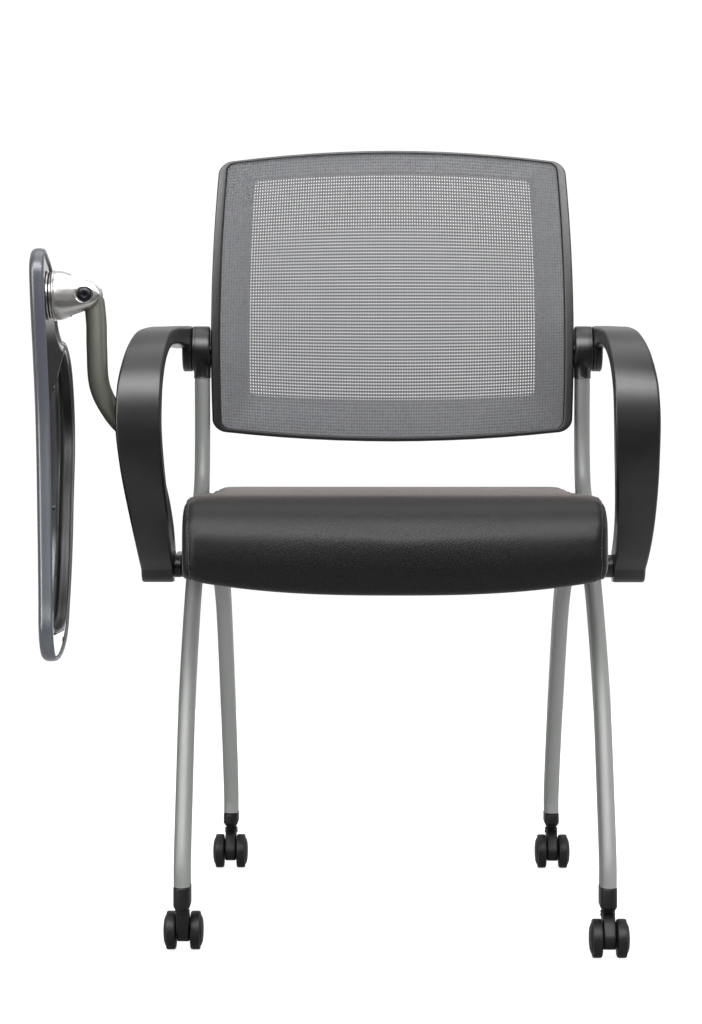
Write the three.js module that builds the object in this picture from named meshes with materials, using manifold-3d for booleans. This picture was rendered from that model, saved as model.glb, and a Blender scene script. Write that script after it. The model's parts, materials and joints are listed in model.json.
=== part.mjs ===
// Student desk chair: a nesting training chair on casters, with a flip-up seat, a tilting
// mesh back, loop arms and a writing tablet that folds away beside the sitter's right arm.
// Millimetres, +Z up. The sitter faces -Y, so -X is the sitter's right.
// The model is drawn with the chair's plane of symmetry at X = 0 and the floor at Z = 0, and
// is then shifted so that the origin is the middle of its footprint at rest.
import * as THREE from 'three';
import Module from 'manifold-3d';
import { mergeVertices } from 'three/addons/utils/BufferGeometryUtils.js';

const wasm = await Module();
wasm.setup();

// ---- driving dimensions ----------------------------------------------------------------

const GAP = 0.3; // clearance left between neighbouring pieces
const FOOTPRINT_CENTRE = { x: -51.4, y: -9.4 }; // middle of the whole chair's box at rest

const TUBE = { width: 17, depth: 38, wall: 2 }; // flat-oval frame tube
const SIDE_X = 225.5; // mid-plane of the tube that is front leg, seat rise and upright
const REAR_X = 198; // mid-plane of the rear leg, inboard of the side tube
const STEM_Y = 235; // caster stems stand this far in front of and behind the middle
const FRONT_SLEEVE = { low: 48, high: 73 };
const REAR_SLEEVE = { low: 50, high: 66 };

const CROSS = { y: -15, z: 392, radius: 15, bore: 12.5 }; // tube under the seat
const HUB = { y: 113, z: 639, radius: 27, inner: 216, outer: 237, collarLow: 604 };
const PIN_RADIUS = 8; // stub axle that carries the back in each hub
const BUSH_RADIUS = 17; // rubber torsion bush around the stub axle
const SEAT_PIVOT = { y: 75, z: 455, radius: 5 };

const ARM = { inner: 249.6, outer: 305, bossRadius: 13, boltRadius: 4, set: 7 };
const LUG = { inner: 241.5, outer: 249.2, weldY: 24 }; // plate that carries the tablet tube

const BACK = { halfWidth: 215, bottom: 528, top: 878.4, bow: 34, border: 11, depth: 24 };
const SEAT = { frontHalf: 226.5, rearHalf: 211.5, frontY: -245, rearY: 165 };
const PLATE = { inner: 212.2, outer: 216.1 }; // hinge plate between seat and side tube

const TABLET_PIVOT = { x: -341, y: -100, z: 700 }; // middle of the bolt that the tablet folds about
const TABLET_BOLT = { radius: 5, hole: 5.3, knuckle: 13, cheekInner: 12, cheekOuter: 20 };
const TABLET_LEAN = -1.6; // degrees: the lower end of the hanging tablet leans to the chair
const TABLET = { face: -54, board: -43.3, lip: -37.5, panel: -39.3 }; // X of its layers
const TABLET_TUBE = { radius: 11.5, bore: 9.5 };

const STEM = { radius: 4, socket: 4.3 };
const WHEEL = { radius: 20.4, facets: 20, width: 14, trail: 18, inner: 7.3, axle: 3 };
const AXLE_Z = WHEEL.radius * Math.cos(Math.PI / WHEEL.facets); // a facet lies on the floor

const RIGHT = { name: 'right', sign: -1 }; // the sitter's right, where the tablet hangs
const LEFT = { name: 'left', sign: 1 };

// ---- materials -------------------------------------------------------------------------

function finish(color, roughness, metalness) {
  return new THREE.MeshStandardMaterial({ color, roughness, metalness });
}

const silverPaint = () => finish(0xa9adad, 0.42, 0.6);
const olivePaint = () => finish(0x7d8076, 0.4, 0.6);
const blackPlastic = () => finish(0x1d1e21, 0.42, 0);
const softBlack = () => finish(0x141415, 0.85, 0);
const blackSteel = () => finish(0x232427, 0.35, 0.8);
const polishedAluminium = () => finish(0xd5d6d8, 0.14, 1);
const greyMesh = () => finish(0x77797a, 0.9, 0);
const blackFabric = () => finish(0x1b191b, 0.95, 0);
const greyLaminate = () => finish(0x5d626b, 0.45, 0);
const glossBlack = () => finish(0x101114, 0.12, 0);

// ---- solids ----------------------------------------------------------------------------

// A closed three.js geometry as a solid that can be cut and joined.
function solid(geometry) {
  const bare = geometry.clone();
  bare.deleteAttribute('normal');
  bare.deleteAttribute('uv');
  const merged = mergeVertices(bare, 0.001);
  const vertProperties = new Float32Array(merged.attributes.position.array);
  const triVerts = new Uint32Array(merged.index.array);
  return new wasm.Manifold(new wasm.Mesh({ numProp: 3, vertProperties, triVerts }));
}

function shapeOf(manifold) {
  const mesh = manifold.getMesh();
  const geometry = new THREE.BufferGeometry();
  geometry.setAttribute('position', new THREE.BufferAttribute(mesh.vertProperties, 3));
  geometry.setIndex(new THREE.BufferAttribute(mesh.triVerts, 1));
  geometry.computeVertexNormals();
  return geometry;
}

function join(first, ...others) {
  return others.reduce((sum, other) => sum.add(solid(other)), solid(first));
}

// A round bar from low to high along one axis; a and b are its other two coordinates, in
// X, Y, Z order.
function bar(axis, radius, low, high, a, b, facets = 16) {
  const geometry = new THREE.CylinderGeometry(radius, radius, high - low, facets);
  const middle = (low + high) / 2;
  if (axis === 'x') return geometry.rotateZ(-Math.PI / 2).translate(middle, a, b);
  if (axis === 'z') return geometry.rotateX(Math.PI / 2).translate(a, b, middle);
  return geometry.translate(a, middle, b);
}

// The same bar on either side of the chair: low and high are distances from X = 0.
function sideBar(side, radius, low, high, y, z, facets = 16) {
  const ends = [side.sign * low, side.sign * high];
  return bar('x', radius, Math.min(...ends), Math.max(...ends), y, z, facets);
}

function block(x, y, z) {
  const size = [x, y, z].map(([low, high]) => high - low);
  const middle = [x, y, z].map(([low, high]) => (low + high) / 2);
  return new THREE.BoxGeometry(...size).translate(...middle);
}

// An outline in the side view (Y, Z), as a plate between two X values.
function sidePlate(shape, low, high, curveSegments = 6) {
  const options = { depth: high - low, bevelEnabled: false, curveSegments };
  const plate = new THREE.ExtrudeGeometry(shape, options);
  const sideways = new THREE.Matrix4().makeBasis(
    new THREE.Vector3(0, 1, 0),
    new THREE.Vector3(0, 0, 1),
    new THREE.Vector3(1, 0, 0),
  );
  return plate.applyMatrix4(sideways).translate(low, 0, 0);
}

// An outline in the plan view (X, Y), as a plate between two Z values.
function planPlate(shape, low, high, curveSegments = 4) {
  const options = { depth: high - low, bevelEnabled: false, curveSegments };
  return new THREE.ExtrudeGeometry(shape, options).translate(0, 0, low);
}

// An outline in the front view (X, Z), as a plate between two Y values.
function frontPlate(shape, low, high, curveSegments = 6) {
  const options = { depth: high - low, bevelEnabled: false, curveSegments };
  return new THREE.ExtrudeGeometry(shape, options).rotateX(Math.PI / 2).translate(0, high, 0);
}

function mirrored(geometry) {
  const twin = geometry.clone().applyMatrix4(new THREE.Matrix4().makeScale(-1, 1, 1));
  const index = twin.index.array;
  for (let i = 0; i < index.length; i += 3) {
    const kept = index[i];
    index[i] = index[i + 1];
    index[i + 1] = kept;
  }
  twin.computeVertexNormals();
  return twin;
}

function onSide(side, geometry) {
  return side.sign > 0 ? geometry : mirrored(geometry);
}

// A flat-oval section: width across the chair, depth in the plane of the bend.
function ovalPath(width, depth, PathClass = THREE.Shape) {
  const radius = width / 2;
  const straight = depth / 2 - radius;
  const path = new PathClass();
  path.moveTo(radius, -straight);
  path.lineTo(radius, straight);
  path.absarc(0, straight, radius, 0, Math.PI, false);
  path.lineTo(-radius, -straight);
  path.absarc(0, -straight, radius, Math.PI, 2 * Math.PI, false);
  return path;
}

function ovalTube(points, steps) {
  const section = ovalPath(TUBE.width, TUBE.depth);
  section.holes.push(ovalPath(TUBE.width - 2 * TUBE.wall, TUBE.depth - 2 * TUBE.wall, THREE.Path));
  const path = new THREE.CatmullRomCurve3(points, false, 'centripetal');
  return new THREE.ExtrudeGeometry(section, { extrudePath: path, steps, curveSegments: 3 });
}

// A straight length of the flat-oval section standing on end, centred at (x, y).
function ovalPost(width, depth, x, y, low, high) {
  return planPlate(ovalPath(width, depth), low, high).translate(x, y, 0);
}

// ---- scene graph -----------------------------------------------------------------------

const chair = new THREE.Group();
chair.position.set(-FOOTPRINT_CENTRE.x, -FOOTPRINT_CENTRE.y, 0);

const foldingTablet = new THREE.Group();
foldingTablet.position.set(TABLET_PIVOT.x, TABLET_PIVOT.y, TABLET_PIVOT.z);
foldingTablet.rotation.y = THREE.MathUtils.degToRad(TABLET_LEAN);
chair.add(foldingTablet);

function place(name, shape, material, parent = chair) {
  const geometry = shape instanceof wasm.Manifold ? shapeOf(shape) : shape;
  const mesh = new THREE.Mesh(geometry, material);
  mesh.name = name;
  parent.add(mesh);
}

// ---- frame -----------------------------------------------------------------------------

const inPlane = (x, points) => points.map(([y, z]) => new THREE.Vector3(x, y, z));

// Front leg, seat rise and upright, bent from one tube.
function sideTube(side) {
  const centreline = [
    [-STEM_Y, FRONT_SLEEVE.high + GAP], [-STEM_Y, 92], [-206, 162], [-157, 258], [-66, 354],
    [-12, 394], [64, 448], [100, 478], [HUB.y, 520], [HUB.y, 600], [HUB.y, 616],
  ];
  const tube = solid(ovalTube(inPlane(side.sign * SIDE_X, centreline), 17));
  return tube
    .subtract(solid(sideBar(side, SEAT_PIVOT.radius + GAP, 200, 250, SEAT_PIVOT.y, SEAT_PIVOT.z)))
    .subtract(solid(sideBar(side, ARM.boltRadius + GAP, 200, 250, CROSS.y, CROSS.z)));
}

function rearLeg(side) {
  const centreline = [
    [STEM_Y, REAR_SLEEVE.high + GAP], [STEM_Y, 84], [205, 146], [160, 219], [68, 344],
    [10, 384], [CROSS.y, CROSS.z],
  ];
  const leg = solid(ovalTube(inPlane(side.sign * REAR_X, centreline), 10));
  const saddle = bar('x', CROSS.radius + GAP, -240, 240, CROSS.y, CROSS.z, 24);
  const beyond = block([-240, 240], [-60, CROSS.y], [340, 440]);
  return leg.subtract(join(saddle, beyond));
}

function crossTube() {
  const reach = SIDE_X - TUBE.width / 2 - GAP;
  const outside = solid(bar('x', CROSS.radius, -reach, reach, CROSS.y, CROSS.z, 24));
  return outside.subtract(solid(bar('x', CROSS.bore, -240, 240, CROSS.y, CROSS.z, 12)));
}

// Plastic end cap of a leg, with the socket of the caster stem.
function casterSleeve(x, y, { low, high }) {
  const cap = solid(ovalPost(TUBE.width + 1, TUBE.depth + 1, x, y, low, high));
  return cap.subtract(solid(bar('z', STEM.socket, low - 1, high - 4, x, y, 12)));
}

// Housing at the top of each upright: it holds the rubber bush that the back tilts in.
function hubHousing(side) {
  const middle = side.sign * (HUB.inner + HUB.outer) / 2;
  const drum = sideBar(side, HUB.radius, HUB.inner, HUB.outer, HUB.y, HUB.z, 28);
  const collar = ovalPost(HUB.outer - HUB.inner, 44, middle, HUB.y, HUB.collarLow, HUB.z - 20);
  const clearance = 4 * GAP;
  const pocket = ovalPost(TUBE.width + clearance, TUBE.depth + clearance, side.sign * SIDE_X, HUB.y,
    HUB.collarLow - 1, 616.5);
  const bushSeat = sideBar(side, BUSH_RADIUS + GAP, HUB.inner - 1, HUB.outer - 4, HUB.y, HUB.z, 24);
  return join(drum, collar).subtract(solid(pocket)).subtract(solid(bushSeat));
}

function tiltBush(side) {
  const low = HUB.inner + 1;
  const high = HUB.outer - 4 - GAP;
  const ring = solid(sideBar(side, BUSH_RADIUS, low, high, HUB.y, HUB.z, 24));
  return ring.subtract(solid(sideBar(side, PIN_RADIUS + GAP, 200, 250, HUB.y, HUB.z, 12)));
}

function seatPivotBolt(side) {
  const outerFace = SIDE_X + TUBE.width / 2;
  const { y, z, radius } = SEAT_PIVOT;
  const shank = sideBar(side, radius, PLATE.inner, outerFace + 1, y, z, 12);
  const head = sideBar(side, 9, outerFace + GAP, outerFace + 4.5, y, z, 12);
  return join(shank, head);
}

// ---- arms ------------------------------------------------------------------------------

// Side view of the loop arm: thick at the hub, forward over the elbow, down and back to the
// cross tube.
function armSideShape() {
  const outer = [[60, 665], [0, 663], [-52, 657], [-92, 636], [-116, 602], [-122, 560],
    [-113, 505], [-88, 449], [-56, 408], [-32, 384]];
  const inner = [[-1, 407], [-36, 436], [-68, 470], [-92, 518], [-102, 560], [-97, 596],
    [-78, 625], [-44, 642], [0, 646], [60, 643], [HUB.y, 640]];
  const point = ([y, z]) => new THREE.Vector2(y, z);
  const shape = new THREE.Shape();
  shape.moveTo(HUB.y, 666);
  shape.splineThru(outer.map(point));
  shape.absarc(CROSS.y, CROSS.z, 19, Math.PI * 1.12, Math.PI * 2.25, false);
  shape.splineThru(inner.map(point));
  shape.absarc(HUB.y, 653, 13, -Math.PI / 2, Math.PI / 2, false);
  return shape;
}

// Front view of the loop arm on the left side.
function armFrontShape() {
  const outer = [[268, 665.5], [281, 661], [292, 638], [298, 612], [300.5, 578], [300, 540],
    [296.5, 490], [292.5, 447], [288, 404], [285.5, 377]];
  const inner = [[ARM.inner, 377], [ARM.inner, 450], [ARM.inner, 540], [248, 596], [245, 620],
    [240, 637]];
  const point = ([x, z]) => new THREE.Vector2(x, z);
  const shape = new THREE.Shape();
  shape.moveTo(HUB.outer + GAP, 666.5);
  shape.splineThru(outer.map(point));
  shape.lineTo(...inner[0]);
  shape.splineThru(inner.slice(1).map(point));
  shape.lineTo(HUB.outer + GAP, 637);
  return shape;
}

function smoothStep(low, high, value) {
  return THREE.MathUtils.smoothstep(value, low, high);
}

// Both arms sit a little to the sitter's right between their two fixings.
function setOver(geometry) {
  const positions = geometry.attributes.position;
  for (let i = 0; i < positions.count; i += 1) {
    const lift = smoothStep(402, 570, positions.getZ(i));
    const reach = 1 - smoothStep(-60, 100, positions.getY(i));
    positions.setX(i, positions.getX(i) - ARM.set * lift * reach);
  }
  geometry.computeVertexNormals();
  return geometry;
}

function arm(side) {
  const loop = solid(sidePlate(armSideShape(), HUB.outer + GAP, ARM.outer, 3))
    .intersect(solid(frontPlate(armFrontShape(), -200, 200, 2)));
  const rearBoss = sideBar(LEFT, HUB.radius, HUB.outer + GAP, 248, HUB.y, HUB.z, 28);
  const boltHole = sideBar(LEFT, ARM.boltRadius + GAP, 200, 320, CROSS.y, CROSS.z, 12);
  const headRecess = sideBar(LEFT, 8, 279, 320, CROSS.y, CROSS.z, 12);
  const finished = loop.add(solid(rearBoss)).subtract(join(boltHole, headRecess));
  return setOver(onSide(side, shapeOf(finished)));
}

// Spacer between the side tube and the arm's lower end, shorter where the tablet lug sits.
function armBoss(side) {
  const low = SIDE_X + TUBE.width / 2 + GAP;
  const high = side === RIGHT ? LUG.inner - GAP : LUG.outer;
  const spacer = solid(sideBar(side, ARM.bossRadius, low, high, CROSS.y, CROSS.z, 24));
  return spacer.subtract(solid(sideBar(side, ARM.boltRadius + GAP, 200, 300, CROSS.y, CROSS.z, 12)));
}

function armBolt(side) {
  const shank = sideBar(side, ARM.boltRadius, 218, 282, CROSS.y, CROSS.z, 12);
  const head = sideBar(side, 7, 279.3, 284.5, CROSS.y, CROSS.z, 12);
  return join(shank, head);
}

// ---- back ------------------------------------------------------------------------------

function roundedRectangle(halfWidth, low, high, radius) {
  const shape = new THREE.Shape();
  const right = halfWidth - radius;
  shape.moveTo(-right, low);
  shape.lineTo(right, low);
  shape.absarc(right, low + radius, radius, -Math.PI / 2, 0, false);
  shape.lineTo(halfWidth, high - radius);
  shape.absarc(right, high - radius, radius, 0, Math.PI / 2, false);
  shape.lineTo(-right, high);
  shape.absarc(-right, high - radius, radius, Math.PI / 2, Math.PI, false);
  shape.lineTo(-halfWidth, low + radius);
  shape.absarc(-right, low + radius, radius, Math.PI, Math.PI * 1.5, false);
  return shape;
}

// Rear face of the back: upright by the hubs, curving away above them, hollow in plan.
function backSurface(x, z) {
  const lean = 0.00048 * Math.max(0, z - 600) ** 2;
  const hollow = BACK.bow * (1 - (x / BACK.halfWidth) ** 2);
  return 124.5 + lean + hollow;
}

// Takes flat work (x across, y from 0 at the bottom edge to 1 at the top, z forward of the
// rear face) to the curved back, with its arched top, bowed bottom and swelling sides.
function onBack(geometry) {
  const positions = geometry.attributes.position;
  for (let i = 0; i < positions.count; i += 1) {
    const across = positions.getX(i) / BACK.halfWidth;
    const share = positions.getY(i) / (BACK.top - BACK.bottom);
    const low = BACK.bottom + 14 * across ** 2;
    const high = BACK.top - 17 * across ** 2;
    const z = low + share * (high - low);
    const x = across * (BACK.halfWidth - 7.75 * ((z - 650) / 200) ** 2);
    positions.setXYZ(i, x, backSurface(x, z) - positions.getZ(i), z);
  }
  geometry.computeVertexNormals();
  return geometry;
}

// A ring in the flat between two outlines inside the back's own, and between two distances
// forward of the rear face. It is a turned ring, moved onto the outlines point by point, so
// that every face is short enough to follow the curve.
function backRing(outer, inner, low, high) {
  const count = 68;
  const height = BACK.top - BACK.bottom;
  const outline = ({ side, bottom, top, radius }) => (
    roundedRectangle(BACK.halfWidth - side, bottom, height - top, radius).getSpacedPoints(count)
  );
  const wide = outline(outer);
  const narrow = outline(inner);
  const section = [[1, low], [0, low], [0, high], [1, high], [1, low]];
  const profile = section.map(([inward, forward]) => new THREE.Vector2(2 - inward, forward));
  const ring = new THREE.LatheGeometry(profile, count);
  const positions = ring.attributes.position;
  for (let i = 0; i < positions.count; i += 1) {
    const turn = Math.floor(i / section.length);
    const [inward, forward] = section[i % section.length];
    const point = wide[turn].clone().lerp(narrow[turn], inward);
    positions.setXYZ(i, point.x, point.y, forward);
  }
  return ring;
}

// Outer rim with a wide flange behind the mesh, and a socket at each hub.
function backFrame() {
  const edge = { side: 0, bottom: 0, top: 0, radius: 13 };
  const rim = { side: BACK.border, bottom: 6, top: 4, radius: 8 };
  const overlap = { side: 8, bottom: 4, top: 2.5, radius: 9 };
  const opening = { side: 44, bottom: 50, top: 28, radius: 9 };
  const border = onBack(backRing(edge, rim, 0, BACK.depth));
  const curved = join(border, onBack(backRing(overlap, opening, 8, 13)));
  const socket = (side) => sideBar(side, PIN_RADIUS + GAP, 206, 240, HUB.y, HUB.z, 12);
  return curved.subtract(solid(socket(RIGHT))).subtract(solid(socket(LEFT)));
}

// The sheet of mesh, stretched in front of the flange inside the rim.
function backMesh() {
  const margin = { side: BACK.border + 1, bottom: 7.5, top: 5.5 };
  const height = BACK.top - BACK.bottom - margin.bottom - margin.top;
  const width = 2 * (BACK.halfWidth - margin.side);
  const sheet = new THREE.BoxGeometry(width, height, 2, 10, 9, 1);
  const corner = new THREE.Vector2();
  const positions = sheet.attributes.position;
  const inset = 18; // how far from each corner the sheet is rounded
  for (let i = 0; i < positions.count; i += 1) {
    corner.set(Math.abs(positions.getX(i)) - width / 2 + inset,
      Math.abs(positions.getY(i)) - height / 2 + inset);
    if (corner.x > 0 && corner.y > 0) {
      const pull = inset / Math.max(inset, corner.length());
      positions.setX(i, Math.sign(positions.getX(i)) * (width / 2 - inset + corner.x * pull));
      positions.setY(i, Math.sign(positions.getY(i)) * (height / 2 - inset + corner.y * pull));
    }
  }
  return onBack(sheet.translate(0, margin.bottom + height / 2, 15.4));
}

function backPivotPin(side) {
  return sideBar(side, PIN_RADIUS, 206 + GAP, HUB.outer - 4 - GAP, HUB.y, HUB.z, 12);
}

// ---- seat ------------------------------------------------------------------------------

// Underside of the cushion in the side view, from the front roll to the rear edge.
const SEAT_UNDERSIDE = [[-204, 398], [-178, 423], [-60, 436], [60, 441], [150, 446]];

function seatPlan(frontHalf, rearHalf, frontY, rearY) {
  const taperStart = -170;
  const taperEnd = -30;
  const shape = new THREE.Shape();
  shape.moveTo(-frontHalf + 14, frontY);
  shape.lineTo(frontHalf - 14, frontY);
  shape.quadraticCurveTo(frontHalf, frontY, frontHalf, frontY + 16);
  shape.lineTo(frontHalf, taperStart);
  shape.lineTo(rearHalf, taperEnd);
  shape.lineTo(rearHalf, rearY - 12);
  shape.quadraticCurveTo(rearHalf, rearY, rearHalf - 12, rearY);
  shape.lineTo(-rearHalf + 12, rearY);
  shape.quadraticCurveTo(-rearHalf, rearY, -rearHalf, rearY - 12);
  shape.lineTo(-rearHalf, taperEnd);
  shape.lineTo(-frontHalf, taperStart);
  shape.lineTo(-frontHalf, frontY + 16);
  shape.quadraticCurveTo(-frontHalf, frontY, -frontHalf + 14, frontY);
  return shape;
}

function seatCushion() {
  const top = [[162, 465], [154, 471], [80, 474], [0, 476.5], [-120, 479.5], [-190, 480.5],
    [-226, 471.5], [-243, 448], [-245, 420], [-239, 394], [-222, 382]];
  const point = ([y, z]) => new THREE.Vector2(y, z);
  const profile = new THREE.Shape();
  profile.moveTo(150, 446);
  profile.lineTo(163, 456);
  profile.splineThru(top.map(point));
  SEAT_UNDERSIDE.forEach(([y, z]) => profile.lineTo(y, z));
  const thick = solid(sidePlate(profile, -240, 240, 2));
  return thick.intersect(solid(
    planPlate(seatPlan(SEAT.frontHalf, SEAT.rearHalf, SEAT.frontY, SEAT.rearY), 360, 520, 3),
  ));
}

// Moulded shell under the cushion.
function seatPan() {
  const thickness = 5;
  const upper = SEAT_UNDERSIDE.slice(1).map(([y, z]) => [Math.min(y, 142), z - 2 * GAP]);
  const shape = new THREE.Shape();
  shape.moveTo(...upper[0]);
  upper.slice(1).forEach(([y, z]) => shape.lineTo(y, z));
  [...upper].reverse().forEach(([y, z]) => shape.lineTo(y, z - thickness));
  shape.closePath();
  const half = PLATE.inner - GAP;
  return sidePlate(shape, -half, half);
}

function seatHingePlate(side) {
  const { y, z, radius } = SEAT_PIVOT;
  const shape = new THREE.Shape();
  shape.moveTo(18, 430);
  shape.lineTo(118, 435);
  shape.absarc(y, z, 15, 0.35, 2.4, false);
  shape.lineTo(18, 438);
  shape.closePath();
  const eye = new THREE.Path();
  eye.absarc(y, z, radius + GAP, 0, 2 * Math.PI, true);
  shape.holes.push(eye);
  return onSide(side, shapeOf(solid(sidePlate(shape, PLATE.inner, PLATE.outer))));
}

// Rubber block under the pan: the seat comes to rest with it on the cross tube.
function seatStopPad(side) {
  const x = [side.sign * 150 - 15, side.sign * 150 + 15];
  return block(x, [CROSS.y - 12, CROSS.y + 12], [CROSS.z + CROSS.radius + GAP, 431.2]);
}

// ---- tablet tube and bracket -----------------------------------------------------------

function tabletTube() {
  const { x, y, z } = TABLET_PIVOT;
  const centreline = [
    [-262, LUG.weldY, 380], [-262, LUG.weldY, 398], [-264, -4, 446], [-273, -44, 500],
    [-292, -70, 542], [-312, -86, 568], [-326, -97, 598], [-329, y, 640], [-329.5, y, 668],
    [x + 9.5, y, z - 10],
  ];
  const section = new THREE.Shape();
  section.absarc(0, 0, TABLET_TUBE.radius, 0, 2 * Math.PI, false);
  const bore = new THREE.Path();
  bore.absarc(0, 0, TABLET_TUBE.bore, 0, 2 * Math.PI, false);
  section.holes.push(bore);
  const path = new THREE.CatmullRomCurve3(
    centreline.map((p) => new THREE.Vector3(...p)), false, 'centripetal',
  );
  const tube = new THREE.ExtrudeGeometry(section, { extrudePath: path, steps: 18, curveSegments: 6 });
  const barrel = bar('y', TABLET_BOLT.knuckle + GAP, y - 30, y + 30, x, z, 24);
  const atLug = block([-LUG.outer - GAP, -200], [-60, 60], [370, 430]);
  return solid(tube).subtract(solid(barrel)).subtract(solid(atLug));
}

// Plate with an eye on the right arm's bolt; its tail carries the foot of the tablet tube.
function tabletTubeLug() {
  const shape = new THREE.Shape();
  shape.moveTo(CROSS.y, CROSS.z + ARM.bossRadius);
  shape.absarc(CROSS.y, CROSS.z, ARM.bossRadius, Math.PI / 2, Math.PI * 1.5, false);
  shape.lineTo(LUG.weldY + 10, CROSS.z - ARM.bossRadius);
  shape.lineTo(LUG.weldY + 10, CROSS.z + ARM.bossRadius);
  shape.closePath();
  const plate = solid(sidePlate(shape, -LUG.outer, -LUG.inner));
  return plate.subtract(solid(sideBar(RIGHT, ARM.boltRadius + GAP, 200, 300, CROSS.y, CROSS.z, 12)));
}

function tabletKnuckle() {
  const { x, y, z } = TABLET_PIVOT;
  const half = TABLET_BOLT.cheekInner - GAP;
  const barrel = solid(bar('y', TABLET_BOLT.knuckle, y - half, y + half, x, z, 24));
  return barrel.subtract(solid(bar('y', TABLET_BOLT.hole, y - 20, y + 20, x, z, 12)));
}

// The pieces below fold about the tablet bolt, so they are drawn around it: X = 0 and Z = 0
// are the bolt's axis, and the tablet hangs at negative X.

// Cast fork: a round flange on the tablet's swivel, tapering to two cheeks on the bolt.
function tabletBracket() {
  const shape = new THREE.Shape();
  shape.moveTo(-30, -27);
  shape.lineTo(-24, -27);
  shape.lineTo(-12, -21.5);
  shape.absarc(0, 0, 14, -1.05, 1.05, false);
  shape.lineTo(-12, 21.5);
  shape.lineTo(-24, 27);
  shape.lineTo(-30, 27);
  shape.closePath();
  const { hole, cheekInner, cheekOuter } = TABLET_BOLT;
  const body = solid(frontPlate(shape, -cheekOuter, cheekOuter));
  const flange = solid(bar('x', 28, -36, -29, 0, 0, 28));
  const slot = solid(block([-17, 40], [-cheekInner, cheekInner], [-40, 40]));
  const boltHole = solid(bar('y', hole, -40, 40, 0, 0, 12));
  const headRecess = solid(bar('y', 9, -40, -17, 0, 0, 20));
  return body.add(flange).subtract(slot).subtract(boltHole).subtract(headRecess);
}

function tabletPivotBolt() {
  const shank = bar('y', TABLET_BOLT.radius, -18, 24, 0, 0, 12);
  const head = bar('y', 7, -20.2, -17.3, 0, 0, 20);
  return join(shank, head);
}

function tabletPivotNut() {
  const nut = solid(bar('y', 9.2, TABLET_BOLT.cheekOuter + GAP, 25, 0, 0, 6));
  return nut.subtract(solid(bar('y', TABLET_BOLT.hole, 10, 40, 0, 0, 12)));
}

// ---- tablet ----------------------------------------------------------------------------

// Writing surface in its own plane, Y and Z from the swivel's axis: narrow by the swivel and
// wide over the lap.
const TABLET_CURVE = [[-73, 8], [-70, 36], [-50, 51], [-22, 45], [14, 30], [38, 4], [46, -28],
  [78, -46], [134, -54], [174, -80], [191, -130], [184, -180], [158, -230], [135, -278],
  [112, -316], [86, -350], [58, -380], [20, -396], [-36, -401], [-72, -392], [-86, -366],
  [-80, -330], [-68, -250], [-57, -130]];

// Deep finger recess in the underside, over the far half of the tablet.
const RECESS_CURVE = [[122, -64], [80, -76], [52, -89], [43, -108], [43, -150], [38, -190],
  [-2, -272], [-31, -309], [-56, -345], [-60, -358], [-42, -366], [4, -370], [44, -366],
  [68, -350], [94, -316], [118, -272], [142, -226], [168, -174], [172, -130], [160, -94],
  [140, -72]];
const RECESS_FLOOR = -51;

function tabletShape(inset, PathClass = THREE.Shape, outline = TABLET_CURVE, count = 44) {
  const curve = new THREE.CatmullRomCurve3(
    outline.map(([y, z]) => new THREE.Vector3(y, z, 0)), true, 'centripetal',
  );
  const points = [];
  for (let i = 0; i < count; i += 1) {
    const spot = curve.getPointAt(i / count);
    const along = curve.getTangentAt(i / count);
    points.push(new THREE.Vector2(spot.x - along.y * inset, spot.y + along.x * inset));
  }
  return new PathClass(points);
}

// Board with a lip around its underside; the outline runs clockwise, so an inset is negative.
function tabletTop() {
  const board = solid(sidePlate(tabletShape(0), TABLET.face, TABLET.lip));
  const recess = tabletShape(0, THREE.Shape, RECESS_CURVE, 28);
  return board
    .subtract(solid(sidePlate(tabletShape(-5), TABLET.board, 0)))
    .subtract(solid(sidePlate(recess, RECESS_FLOOR, 0)));
}

function tabletUnderside() {
  const panel = tabletShape(-5.5);
  panel.holes.push(tabletShape(0, THREE.Path, RECESS_CURVE, 28));
  return sidePlate(panel, TABLET.board + GAP, TABLET.panel);
}

function swivelPlate() {
  return bar('x', 26, TABLET.panel + GAP, -36.3, 0, 0, 28);
}

// ---- casters ---------------------------------------------------------------------------

const CASTERS = [
  { name: 'front_right', x: -SIDE_X, y: -STEM_Y, trail: 1, sleeve: FRONT_SLEEVE },
  { name: 'front_left', x: SIDE_X, y: -STEM_Y, trail: -1, sleeve: FRONT_SLEEVE },
  { name: 'rear_right', x: -REAR_X, y: STEM_Y, trail: -1, sleeve: REAR_SLEEVE },
  { name: 'rear_left', x: REAR_X, y: STEM_Y, trail: -1, sleeve: REAR_SLEEVE },
];

// A caster is drawn around its stem, with the wheels trailing along its own +Y.
function casterStem(caster) {
  const pin = bar('z', STEM.radius, 32, caster.sleeve.high - 6, 0, 0, 12);
  const collar = bar('z', 6.5, 46.3, caster.sleeve.low - GAP, 0, 0, 12);
  return join(pin, collar);
}

function casterHood() {
  const side = new THREE.Shape();
  side.moveTo(-7, 46);
  side.lineTo(-7, 30);
  side.lineTo(WHEEL.trail - 9, 12);
  side.absarc(WHEEL.trail, AXLE_Z, 12, Math.PI * 1.25, Math.PI * 2.25, false);
  side.lineTo(12, 42);
  side.lineTo(7, 46);
  side.closePath();
  const web = sidePlate(side, -6.6, 6.6);
  const neck = bar('z', 8, 41, 46, 0, 0, 20);
  const axleHole = solid(bar('x', WHEEL.axle + GAP, -20, 20, WHEEL.trail, AXLE_Z, 12));
  const stemHole = solid(bar('z', STEM.socket, 31.5, 60, 0, 0, 12));
  return join(web, neck).subtract(axleHole).subtract(stemHole);
}

function casterAxle() {
  return bar('x', WHEEL.axle, -19, 19, WHEEL.trail, AXLE_Z, 12);
}

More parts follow.
